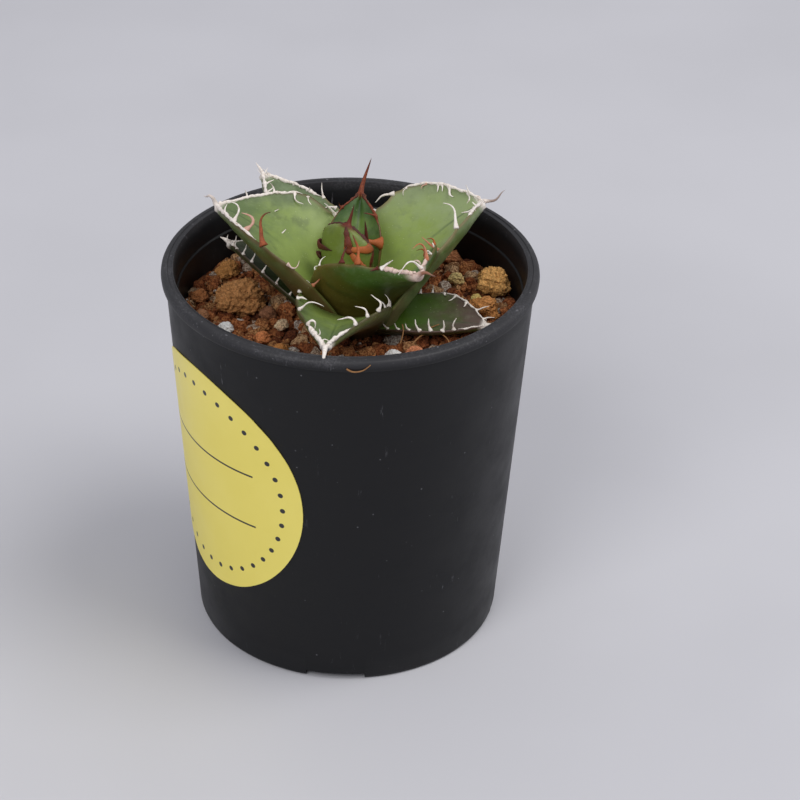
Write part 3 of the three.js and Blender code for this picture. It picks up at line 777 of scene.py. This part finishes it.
def sweep(columns, rows, place, marks=None):
    """A grid rolled into a tube: place(column, row) gives each point in millimetres, and marks
    gives a dict of numbers kept with it. Ends that shrink to a point are closed."""
    deselect()
    bpy.ops.mesh.primitive_grid_add(x_subdivisions=columns, y_subdivisions=rows, size=1)
    strip = bpy.context.active_object
    spots = [(round((v.co.x + 0.5) * columns), round((v.co.y + 0.5) * rows))
             for v in strip.data.vertices]
    points = {spot: place(spot[0] % columns, spot[1]) for spot in spots}
    for vertex, spot in zip(strip.data.vertices, spots):
        vertex.co = points[spot] * MM
    if marks:
        kept = [marks(column, row) for column, row in spots]
        for name in kept[0]:
            layer = strip.data.attributes.new(name, "FLOAT", "POINT")
            layer.data.foreach_set("value", [mark[name] for mark in kept])
    edit()
    bpy.ops.mesh.remove_doubles(threshold=1e-7)
    bpy.ops.mesh.normals_make_consistent(inside=False)
    leave_edit()
    return strip


def face_outwards(piece):
    activate(piece)
    edit()
    bpy.ops.mesh.normals_make_consistent(inside=False)
    leave_edit()


def joined(pieces):
    """Several meshes as one."""
    activate(*pieces)
    bpy.ops.object.join()
    return bpy.context.active_object


def thread(points, radii, around=8, flat=1.0, side=None, marks=None):
    """A tube along points, with a radius at each and a closed end; flat squeezes it across."""
    aheads = []
    for i in range(len(points)):
        step = points[min(i + 1, len(points) - 1)] - points[max(i - 1, 0)]
        aheads.append(step.normalized())
    side = (side or aheads[0].orthogonal()).normalized()
    sides = []
    for ahead in aheads:
        side = (side - ahead * side.dot(ahead)).normalized()
        sides.append(side.copy())
    rows = len(points) + 1

    def place(column, row):
        i = min(max(row - 1, 0), len(points) - 1)
        radius = 0 if row in (0, rows) else radii[i]
        turn = 2 * math.pi * column / around
        return (points[i] + sides[i] * (radius * math.cos(turn))
                + aheads[i].cross(sides[i]) * (radius * flat * math.sin(turn)))

    def along(column, row):
        return marks(min(max((row - 1) / (len(points) - 1), 0), 1))

    return sweep(around, rows, place, along if marks else None)


# ---------------------------------------------------------------- leaf shape


def axes(heading, rise, roll):
    """Along a strip, to its left and out of its upper face."""
    ahead = polar(1, heading)
    slope = math.radians(rise)
    along = ahead * math.cos(slope) + Vector((0, 0, math.sin(slope)))
    left = Vector((-ahead.y, ahead.x, 0))
    left.rotate(Quaternion(along, math.radians(roll)))
    return along, left, along.cross(left)


class Blade:
    """The shape of one leaf. t is the fraction along the blade, and side is 1 left or -1 right."""

    STEPS = 160

    def __init__(self, name):
        self.name, self.form, self.look = name, LEAVES[name], LEAF_LOOKS[name]
        form = self.form
        self.heading = FIRST_HEADING + GOLDEN_ANGLE * form["order"] + form["lean"]
        point = polar(LEAF_ROOT_RADIUS, self.heading, form["root"])
        self.frames = []
        for i in range(self.STEPS + 1):
            t = i / self.STEPS
            frame_axes = axes(self.heading + form["swing"] * t, mix(*form["rise"], t),
                              mix(*form["roll"], t))
            if i:
                point = point + (frame_axes[0] + self.frames[-1][1]) * (
                    form["length"] / self.STEPS / 2)
            self.frames.append((point, *frame_axes))

    def frame(self, t):
        return self.frames[round(min(max(t, 0), 1) * self.STEPS)]

    def half(self, t):
        form = self.form
        swell = form["neck"] + (1 - form["neck"]) * math.sin(
            math.pi / 2 * min(t / form["widest"], 1))
        taper = 1 - max((t - form["widest"]) / (1 - form["widest"]), 0) ** form["point"]
        return max(form["width"] / 2 * swell * taper, SPINE_RADIUS) + EDGE

    def swell(self, t, side):
        """Green swelling of the margin under its teeth."""
        return sum(0.12 * tooth.length * math.exp(-((t - tooth.t) / 0.028) ** 2)
                   for tooth in TEETH[self.name] if tooth.side == side)

    def margin(self, t, side):
        """A point of the margin, with the directions outwards, along and up there."""
        point, along, left, up = self.frame(t)
        cup = math.radians(mix(*self.form["cup"], t))
        arc = self.half(t) / cup
        turn = side * (self.half(t) + self.swell(t, side)) / arc
        place = point + left * (arc * math.sin(turn)) + up * (arc - arc * math.cos(turn))
        out = (left * math.cos(turn) + up * math.sin(turn)) * side
        rise = up * math.cos(turn) - left * math.sin(turn)
        return place, out, along, rise

    def skin(self, t, turn):
        """A point of the blade's skin, at a turn round its section."""
        point, _, left, up = self.frame(t)
        across = math.cos(turn)
        half = self.half(t)
        arc = half / math.radians(mix(*self.form["cup"], t))
        swell = self.swell(t, 1 if across > 0 else -1) * smooth(0.55, 1.0, abs(across))
        lean = math.copysign(abs(across) * half + swell, across) / arc
        if math.sin(turn) > 0:
            depth = self.look["groove"] * smooth(0.4, 0.85, t) * (1 - smooth(0.97, 1.0, t))
            outward = CROWN * math.sin(turn) - depth * math.exp(-(across / 0.16) ** 2)
        else:
            outward = mix(self.form["belly"], 2 * SPINE_RADIUS, t) * math.sin(turn)
        ripple = 0.14 * noise.noise(point * 0.35 + left * (across * 1.6))
        outward += ripple * smooth(0.0, 0.25, abs(math.sin(turn))) * (1 if outward > 0 else -1)
        return (point + left * ((arc - outward) * math.sin(lean))
                + up * (arc - (arc - outward) * math.cos(lean)))


def blade_mesh(blade, rows, around):
    """The blade and its end spine, in one sweep."""
    reach, lift, swing = blade.form["spine"]
    form = blade.form
    point = blade.frames[-1][0].copy()
    spine = []
    for i in range(1, SPINE_ROWS + 1):
        s = i / SPINE_ROWS
        wave = blade.look["end"][0] * math.sin(2 * math.pi * s)
        along, left, up = axes(blade.heading + form["swing"] + swing * s + wave / 2,
                               form["rise"][1] + lift * s + wave, form["roll"][1])
        point = point + along * (reach / SPINE_ROWS)
        radius = 0.92 * SPINE_RADIUS * mix(1, blade.look["end"][1], smooth(0, 0.3, s))
        spine.append((point, left, up, radius * (1 - s) ** 0.75))

    def place(column, row):
        turn = 2 * math.pi * column / around
        if row <= rows:
            if row == 0:
                return blade.frames[0][0]
            return blade.skin((row - 1) / (rows - 1), turn)
        at, left, up, radius = spine[row - rows - 1]
        return at + (left * math.cos(turn) + up * math.sin(turn)) * radius

    def marks(column, row):
        turn = 2 * math.pi * column / around
        t = min(max(row - 1, 0) / (rows - 1), 1)
        beyond = max(row - rows, 0) / SPINE_ROWS
        return {"along": t, "across": math.cos(turn),
                "upper": smooth(-0.12, 0.12, math.sin(turn)),
                "horn": smooth(0.95, 1.0, t), "age": blade.look["age"], "reach": beyond}

    return sweep(around, rows + SPINE_ROWS, place, marks)


def horn_marks(age):
    """What the horn's finish reads; only young horn darkens along its reach."""
    return lambda reach: {"along": 1.0, "across": 1.0, "upper": 1.0, "horn": 1.0, "age": age,
                          "reach": 0.0 if age > 0.3 else reach}


def border_mesh(blade, side):
    """The horny border of one margin, from where it starts to the tip."""
    left, right, thick = blade.look["edges"]
    points, radii = [], []
    for i in range(BORDER_STEPS + 1):
        s = i / BORDER_STEPS
        t = mix(left if side > 0 else right, 1.0, s)
        place, out, _, rise = blade.margin(t, side)
        wander = noise.noise(place * 0.9) * 0.16
        points.append(place + rise * (0.1 + wander) - out * 0.08)
        shade = 0.75 + 0.5 * noise.noise(place * 1.4 + Vector((7, 3, 1)))
        radii.append(max(thick * smooth(0, 0.18, s) * mix(0.6, 1.1, t) * shade, 0.05))
    return thread(points, radii, 8, 0.8, marks=horn_marks(blade.look["age"]))


def tooth_path(blade, tooth, width):
    """Points and thickness of a tooth that bends as it leaves the margin."""
    place, out, along, rise = blade.margin(tooth.t, tooth.side)
    point = place - out * TOOTH_SUNK
    points, radii = [point], []
    knots = Vector((tooth.t * 40, tooth.side * 5, tooth.length))
    for i in range(TOOTH_STEPS):
        s = i / (TOOTH_STEPS - 1)
        turned_by = smooth(tooth.bend - 0.32, tooth.bend + 0.32, s)
        wave = 16 * noise.noise(knots + Vector((s * 3, 0, 0)))
        low = math.radians(tooth.lean + tooth.curl * turned_by + wave)
        high = math.radians(tooth.lift + tooth.hook * turned_by - wave)
        heading = (out * (math.cos(high) * math.cos(low))
                   + along * (math.cos(high) * math.sin(low)) + rise * math.sin(high))
        point = point + heading * ((tooth.length + TOOTH_SUNK) / TOOTH_STEPS)
        points.append(point)
    root = width / 2 * tooth.thickness * 0.85
    for i in range(TOOTH_STEPS + 1):
        s = i / TOOTH_STEPS
        gnarl = 1 + 0.3 * noise.noise(knots + Vector((0, s * 7, 4)))
        radii.append(root * gnarl * (0.48 + 0.52 * (1 - smooth(0, 0.3, s)))
                     * (1 - 0.8 * s ** 1.8))
    return points, radii


def tooth_mesh(blade, tooth, width):
    points, radii = tooth_path(blade, tooth, width)
    along = blade.margin(tooth.t, tooth.side)[2]
    return thread(points, radii, 8, 0.66, side=along, marks=horn_marks(tooth.age))


def pressed_mesh(blade, start, end, breadth, age):
    """A flat tooth lying on the outer face."""
    points, radii, normals = [], [], []
    for i in range(PRESSED_STEPS + 1):
        s = i / PRESSED_STEPS
        t = mix(start[0], end[0], s)
        turn = math.pi * mix(start[1], end[1], s)
        here = blade.skin(t, turn)
        normal = (blade.skin(t, turn + 0.05) - here).cross(blade.skin(t + 0.01, turn) - here)
        normal.normalize()
        if normal.dot(blade.frame(t)[3]) > 0:
            normal = -normal
        bumpy = 0.3 * noise.noise(Vector((t * 20, s * 4, age * 30)))
        points.append(here + normal * (0.2 + 0.25 * math.sin(math.pi * s) + bumpy))
        ends = smooth(-0.12, 0.15, s) * (1 - 0.7 * smooth(0.8, 1.0, s))
        radii.append(mix(*breadth, s) / 2 * (1 + 0.9 * bumpy) * ends)
        normals.append(normal)
    side = (points[1] - points[0]).cross(normals[0])
    return thread(points, radii, 10, 0.32, side=side, marks=horn_marks(age))


# ---------------------------------------------------------------- operators


class AGAVE_OT_camera(Operator):
    """Set the camera up in front of the pot and look down on the rosette"""
    bl_idname = "agave.camera"
    bl_label = "Camera"

    def execute(self, context):
        bpy.ops.object.camera_add()
        camera = context.active_object
        camera.name = "camera"
        camera.data.lens = CAMERA_LENS
        camera.data.sensor_width = 36
        camera.location = CAMERA_PLACE * MM
        turn = (CAMERA_AIM - CAMERA_PLACE).to_track_quat("-Z", "Y")
        camera.rotation_mode = "QUATERNION"
        camera.rotation_quaternion = turn @ Quaternion((0, 0, 1), math.radians(CAMERA_TILT))
        camera.data.clip_start, camera.data.clip_end = 0.01, 50
        context.scene.camera = camera
        return {"FINISHED"}


class AGAVE_OT_stage(Operator):
    """Lay a plain pale floor and hang soft studio lights"""
    bl_idname = "agave.stage"
    bl_label = "Stage"

    def execute(self, context):
        settings = context.scene.agave_stage
        deselect()
        bpy.ops.mesh.primitive_plane_add(size=settings.size)
        floor = context.active_object
        floor.name = "floor"
        floor.data.materials.append(floor_material(settings))
        for name, place, breadth, share, colour in LAMPS:
            self.lamp(name, place, breadth, settings.key_power * share, colour)
        world = bpy.data.worlds.new("soft_room")
        context.scene.world = world
        world.use_nodes = True
        background = world.node_tree.nodes["Background"]
        background.inputs["Color"].default_value = (*linear("#e1e2e9"), 1)
        background.inputs["Strength"].default_value = settings.sky
        context.scene.view_settings.view_transform = "Standard"
        return {"FINISHED"}

    @staticmethod
    def lamp(name, place, size, power, colour):
        bpy.ops.object.light_add(type="AREA", location=place)
        lamp = bpy.context.active_object
        lamp.name = name
        lamp.data.shape = "DISK"
        lamp.data.size = size
        lamp.data.energy = power
        lamp.data.color = colour
        aim = LAMP_AIM - Vector(place)
        lamp.rotation_euler = aim.to_track_quat("-Z", "Y").to_euler()


def pot_profile(rim, lip_width):
    """Radius and height round the pot's wall, from under the floor, over the lip, to the floor."""
    lip = rim - lip_width
    top = POT_HEIGHT
    foot_inner = FOOT_RADIUS - 3.3
    outside = [(foot_inner, FLOOR_UNDERSIDE), (foot_inner + 0.2, 0), (FOOT_RADIUS - 0.9, 0),
               (FOOT_RADIUS - 0.45, 0.08), (FOOT_RADIUS - 0.18, 0.3), (wall_radius(0.9), 0.9)]
    wall = [(wall_radius(z), z) for z in range(6, 76, 6)]
    edge = [(SHOULDER_RADIUS, top - LIP_DEPTH), (rim - 0.24, top - LIP_DEPTH + 0.34),
            (rim - 0.08, top - LIP_DEPTH + 0.7), (rim, top - 1.2), (rim - 0.06, top - 0.7),
            (rim - 0.22, top - 0.36), (rim - 0.45, top - 0.12), (rim - 0.75, top - 0.02),
            (rim - 1.25, top), (rim - 1.38, top - 0.2), (lip + 0.42, top - 0.2),
            (lip + 0.3, top - 0.02), (lip + 0.12, top - 0.04), (lip, top - 0.3),
            (lip - 0.05, top - 1.5), (inner_radius(top - 1.8), top - 1.8)]
    inside = [(wall_radius(STEP_HEIGHT) - WALL, STEP_HEIGHT),
              (inner_radius(STEP_HEIGHT - 0.3), STEP_HEIGHT - 0.3)]
    low = [(inner_radius(z), z) for z in range(66, 5, -10)]
    floor = [(inner_radius(FLOOR_TOP + 1), FLOOR_TOP + 1),
             (inner_radius(FLOOR_TOP + 0.3) - 0.3, FLOOR_TOP + 0.3),
             (inner_radius(FLOOR_TOP) - 1, FLOOR_TOP)]
    return outside + wall + edge + inside + low + floor


def turned(profile, segments):
    """A circle extruded ring by ring along radius and height, and capped at both ends."""
    deselect()
    radius, base = profile[0]
    bpy.ops.mesh.primitive_circle_add(vertices=segments, radius=radius * MM)
    piece = bpy.context.active_object
    edit()
    bpy.ops.transform.translate(value=(0, 0, base * MM))
    bpy.ops.mesh.edge_face_add()
    bpy.ops.mesh.select_mode(type="EDGE")
    for (r0, z0), (r1, z1) in zip(profile, profile[1:]):
        bpy.ops.mesh.extrude_edges_move(TRANSFORM_OT_translate={"value": (0, 0, (z1 - z0) * MM)})
        bpy.ops.transform.resize(value=(r1 / r0, r1 / r0, 1), center_override=(0, 0, z1 * MM))
    bpy.ops.mesh.edge_face_add()
    bpy.ops.mesh.select_mode(type="VERT")
    leave_edit()
    face_outwards(piece)
    return piece


def cut_with(piece, cutters):
    """Cuts other meshes out of a piece, and removes them."""
    tool = joined(cutters)
    apply_modifier(piece, "BOOLEAN", operation="DIFFERENCE", solver="EXACT", object=tool)
    bpy.data.objects.remove(tool)


class AGAVE_OT_pot(Operator):
    """Mould the tall nursery pot with its stepped lip, foot notches and drain holes"""
    bl_idname = "agave.pot"
    bl_label = "Pot"

    def execute(self, context):
        settings = context.scene.agave_pot
        profile = pot_profile(settings.rim_radius / MM, settings.lip_width / MM)
        pot = turned(profile, settings.segments)
        cutters = []
        for radius, out, heading in DRAIN_HOLES:
            deselect()
            bpy.ops.mesh.primitive_cylinder_add(vertices=40, radius=radius * MM,
                                                depth=CUTTER_DEPTH,
                                                location=polar(out, heading) * MM)
            cutters.append(context.active_object)
        for heading in NOTCHES:
            deselect()
            bpy.ops.mesh.primitive_cube_add(size=1, location=polar(FOOT_RADIUS - 1, heading) * MM,
                                            rotation=(0, 0, math.radians(heading)),
                                            scale=NOTCH_SIZE)
            cutters.append(context.active_object)
        cut_with(pot, cutters)
        finish_piece(pot, "pot_shell", "pot_plastic", plastic_material(settings), "pot",
                     smooth_angle=32)
        return {"FINISHED"}


class AGAVE_OT_label(Operator):
    """Stick the plain round label on the wall"""
    bl_idname = "agave.label"
    bl_label = "Label"

    def execute(self, context):
        settings = context.scene.agave_label
        radius, height = settings.radius / MM, settings.height / MM
        deselect()
        bpy.ops.mesh.primitive_circle_add(vertices=96, radius=radius * MM)
        label = context.active_object
        edit()
        for ring in range(LABEL_RINGS, 1, -1):
            ratio = (ring - 1) / ring
            bpy.ops.mesh.extrude_edges_move()
            bpy.ops.transform.resize(value=(ratio, ratio, 1), center_override=(0, 0, 0))
        bpy.ops.mesh.edge_face_add()
        bpy.ops.mesh.poke()
        leave_edit()
        flat = label.data.attributes.new("flat", "FLOAT_VECTOR", "POINT")
        for vertex, mark in zip(label.data.vertices, flat.data):
            x, y = vertex.co.x / MM, vertex.co.y / MM
            mark.vector = (x, y, 0)
            z = height + y
            edge = math.hypot(x, y) / radius
            lift = LABEL_LIFT + (LABEL_CURL * smooth(0.9, 1.0, edge)
                                 * noise.noise(Vector((x, y, 0)) * 0.25))
            heading = math.degrees(settings.heading + x / wall_radius(height))
            vertex.co = polar(wall_radius(z) + lift, heading, z) * MM
        apply_modifier(label, "SOLIDIFY", thickness=LABEL_THICKNESS * MM, offset=-1)
        face_outwards(label)
        finish_piece(label, "label_disc", "label_paper", vinyl_material(settings), "label",
                     smooth_angle=40)
        return {"FINISHED"}


class AGAVE_OT_stem(Operator):
    """Give the short stem between the leaf feet its finish"""
    bl_idname = "agave.stem"
    bl_label = "Stem"

    def execute(self, context):
        stem = frame["nodes"]["stem"]
        stem.data.materials.clear()
        stem.data.materials.append(stem_material())
        return {"FINISHED"}


class AGAVE_OT_leaves(Operator):
    """Grow the rosette: each leaf with its horny border, teeth and end spine"""
    bl_idname = "agave.leaves"
    bl_label = "Leaves"

    def execute(self, context):
        settings = context.scene.agave_leaf
        for name in LEAVES:
            blade = Blade(name)
            parts = [blade_mesh(blade, settings.rows, settings.around)]
            parts += [border_mesh(blade, side) for side in (1, -1)]
            parts += [tooth_mesh(blade, tooth, settings.tooth_width / MM)
                      for tooth in TEETH[name]]
            parts += [pressed_mesh(blade, *row) for row in PRESSED.get(name, ())]
            leaf = joined(parts)
            finish_piece(leaf, name + "_grown", "leaf",
                         leaf_material(name, blade.look, settings), name)
        return {"FINISHED"}


def rough_stone(seed, cuts, voxel):
    """A unit lump: a ball with flats cut off it, rebuilt evenly, softened and pitted."""
    draw = random.Random(seed)
    deselect()
    bpy.ops.mesh.primitive_ico_sphere_add(subdivisions=3, radius=1)
    stone = bpy.context.active_object
    edit()
    for _ in range(cuts):
        normal = Vector((draw.gauss(0, 1), draw.gauss(0, 1), draw.gauss(0, 1))).normalized()
        bpy.ops.mesh.select_all(action="SELECT")
        bpy.ops.mesh.bisect(plane_co=normal * draw.uniform(0.74, 0.92), plane_no=normal,
                            use_fill=True, clear_outer=True)
    leave_edit()
    apply_modifier(stone, "REMESH", mode="VOXEL", voxel_size=voxel)
    apply_modifier(stone, "SMOOTH", factor=0.6, iterations=3)
    for size, strength in ((0.9, 0.55), (0.34, 0.45), (0.14, 0.28)):
        texture = bpy.data.textures.new(f"pits_{seed}_{size}", "CLOUDS")
        texture.noise_scale = size
        texture.noise_depth = 3
        apply_modifier(stone, "DISPLACE", texture=texture, texture_coords="LOCAL",
                       mid_level=0.5, strength=strength)
        bpy.data.textures.remove(texture)
    return stone


class AGAVE_OT_stones(Operator):
    """Lay the loose stones on the soil"""
    bl_idname = "agave.stones"
    bl_label = "Stones"

    def execute(self, context):
        for seed, (name, (at, half, turn, slot, colour)) in enumerate(STONES.items()):
            large = max(half) > 2.4
            stone = rough_stone(seed + 3, 9 if large else 6, 0.045 if large else 0.075)
            stone.scale = Vector(half) * MM
            stone.rotation_euler = Euler((0, 0, math.radians(turn)))
            stone.location = Vector(at) * MM
            settle(stone)
            # How strongly the painted shade darkens each stone's pits.
            pit_shade = 0.15 if slot == "grain_white" else 0.5
            finish_piece(stone, name + "_rough", slot,
                         stone_material(name + "_clay", colour, pit_shade), name)
        return {"FINISHED"}


class AGAVE_OT_soil(Operator):
    """Fill the pot with soil and strew it with small grains"""
    bl_idname = "agave.soil"
    bl_label = "Soil"

    def execute(self, context):
        settings = context.scene.agave_ground
        self.bulk(settings)
        self.gravel(settings)
        return {"FINISHED"}

    def bulk(self, settings):
        bottom = FLOOR_TOP + 0.3
        edge = SOIL_TOP - 1
        profile = [(inner_radius(bottom) - 1.5, bottom),
                   (inner_radius(bottom + 1.2) - 0.3, bottom + 1.2),
                   (inner_radius(edge) - 0.15, edge)]
        rings = 44
        rim = profile[-1][0]
        profile += [(rim * (1 - i / rings), edge + 1) for i in range(1, rings)]
        soil = turned(profile, 120)
        for vertex in soil.data.vertices:
            x, y, z = vertex.co / MM
            if z > edge - 0.1:
                crumbs = (0.8 * noise.noise(Vector((x, y, 3)) * 0.45)
                          + 0.55 * noise.noise(Vector((x, y, 9)) * 1.1))
                vertex.co.z = (soil_height(x, y) - 0.5 + crumbs) * MM
        finish_piece(soil, "soil_bulk", "soil", soil_material(settings), "soil_mix")

    def gravel(self, settings):
        draw = random.Random(11)
        tree = self.obstacles()
        shapes = [self.grain_shape(seed) for seed in range(8)]
        grains = []
        reach = inner_radius(SOIL_TOP) - 0.9
        for i in range(settings.grains):
            out = reach * math.sqrt((i + 0.5) / settings.grains)
            heading = math.degrees(i * math.pi * (3 - math.sqrt(5))) + draw.uniform(-2, 2)
            size = GRAIN_SMALLEST + GRAIN_SPREAD * draw.random() ** GRAIN_RARITY
            out = min(out + draw.uniform(-0.4, 0.4), reach - size * 0.6)
            at = polar(out, heading)
            at.z = soil_height(at.x, at.y) + draw.uniform(-0.35, 0.45)
            tone = draw.random() ** (0.6 if size > 0.8 else 1.1)
            turn = Euler([draw.uniform(0, 6.3) for _ in range(3)])
            squash = [draw.uniform(0.75, 1.25) for _ in range(3)]
            above = tree.ray_cast(at * MM, Vector((0, 0, 1)), 2.2 * size * MM)[0]
            if above is not None:
                at.z = above.z / MM - 1.3 * size
            if at.z < soil_height(at.x, at.y) - 2.2:
                continue
            gap = tree.find_nearest(at * MM)[3]
            if gap is not None and gap < 0.85 * size * MM:
                continue
            grain = bpy.data.objects.new("grain", draw.choice(shapes).data.copy())
            bpy.context.collection.objects.link(grain)
            grain.data.transform(Matrix.LocRotScale(
                at * MM, turn, Vector(squash) * (size * MM)))
            layer = grain.data.attributes.new("tone", "FLOAT", "POINT")
            layer.data.foreach_set("value", [tone] * len(grain.data.vertices))
            grains.append(grain)
        for shape in shapes:
            bpy.data.objects.remove(shape)
        finish_piece(joined(grains), "soil_gravel", "soil", gravel_material(), "soil_mix",
                     smooth_angle=24)

    @staticmethod
    def grain_shape(seed):
        """A crumb of two dozen faces."""
        draw = random.Random(seed)
        deselect()
        bpy.ops.mesh.primitive_cube_add(size=2)
        grain = bpy.context.active_object
        edit()
        bpy.ops.mesh.subdivide(number_cuts=1)
        bpy.ops.transform.tosphere(value=0.85)
        leave_edit()
        for vertex in grain.data.vertices:
            vertex.co *= draw.uniform(0.6, 1.15)
        return grain

    @staticmethod
    def obstacles():
        """The leaves and loose stones, for a test of what is near a point."""
        corners, faces = [], []
        for piece in bpy.context.scene.objects:
            if piece.name.endswith(("_grown", "_rough")):
                base = len(corners)
                corners += [v.co.copy() for v in piece.data.vertices]
                faces += [[base + i for i in p.vertices] for p in piece.data.polygons]
        return BVHTree.FromPolygons(corners, faces)


def curved(points, pieces):
    """Points along a smooth curve that passes through the ones given."""
    fine = []
    for i, (a, b) in enumerate(zip(points, points[1:])):
        before, after = points[max(i - 1, 0)], points[min(i + 2, len(points) - 1)]
        for k in range(pieces):
            t = k / pieces
            fine.append(0.5 * (2 * a + (b - before) * t
                               + (2 * before - 5 * a + 4 * b - after) * t * t
                               + (3 * a - before - 3 * b + after) * t ** 3))
    return fine + [points[-1]]


class AGAVE_OT_roots(Operator):
    """Lay the few dry root hairs"""
    bl_idname = "agave.roots"
    bl_label = "Root hairs"

    HAIRS = [
        [(12, -15.5, 70.2), (14, -13.5, 71.2), (17, -12.6, 71.4), (19, -14, 70.8),
         (19.6, -16.5, 70.2)],
        [(9.8, -14.8, 70.0), (10.4, -13.2, 71.8), (10.2, -11.6, 72.6)],
        [(13, -12, 70.4), (15.5, -10.4, 71.0), (17.5, -9.8, 71.6)],
        [(-0.6, -37.62, POT_HEIGHT - 1.3), (0.7, -37.68, POT_HEIGHT - 1.9),
         (2.5, -37.62, POT_HEIGHT - 1.6), (3.9, -37.42, POT_HEIGHT - 0.5)],
    ]

    def execute(self, context):
        hairs = []
        for path in self.HAIRS:
            points = curved([Vector(p) for p in path], 6)
            radii = [HAIR_RADIUS * (1 - 0.5 * i / len(points)) for i in range(len(points))]
            hairs.append(thread(points, radii, 6))
        finish_piece(joined(hairs), "root_hairs", "stem", fibre_material())
        return {"FINISHED"}


class AGAVE_PT_panel(Panel):
    """Everything that the agave is built from"""
    bl_idname = "AGAVE_PT_panel"
    bl_label = "Potted agave"
    bl_space_type = "VIEW_3D"
    bl_region_type = "UI"
    bl_category = "Agave"

    def draw(self, context):
        for group, steps in PANEL_ROWS:
            box = self.layout.box()
            settings = getattr(context.scene, group)
            for name in settings.__annotations__:
                box.prop(settings, name)
            for step in steps:
                box.operator(step)


SETTINGS = {
    "agave_stage": StageSettings,
    "agave_pot": PotSettings,
    "agave_label": LabelSettings,
    "agave_leaf": LeafSettings,
    "agave_ground": GroundSettings,
}
PANEL_ROWS = [
    ("agave_stage", ["agave.camera", "agave.stage"]),
    ("agave_pot", ["agave.pot"]),
    ("agave_label", ["agave.label"]),
    ("agave_leaf", ["agave.stem", "agave.leaves"]),
    ("agave_ground", ["agave.stones", "agave.soil", "agave.roots"]),
]
OPERATORS = [AGAVE_OT_camera, AGAVE_OT_stage, AGAVE_OT_pot, AGAVE_OT_label, AGAVE_OT_stem,
             AGAVE_OT_leaves, AGAVE_OT_stones, AGAVE_OT_soil, AGAVE_OT_roots]


def register():
    for cls in [*SETTINGS.values(), *OPERATORS, AGAVE_PT_panel]:
        bpy.utils.register_class(cls)
    for name, cls in SETTINGS.items():
        setattr(bpy.types.Scene, name, PointerProperty(type=cls))


def unregister():
    for name in SETTINGS:
        delattr(bpy.types.Scene, name)
    for cls in reversed([*SETTINGS.values(), *OPERATORS, AGAVE_PT_panel]):
        bpy.utils.unregister_class(cls)


def main():
    register()
    for _, steps in PANEL_ROWS:
        for step in steps:
            getattr(bpy.ops.agave, step.split(".")[1])()


if __name__ == "__main__":
    main()
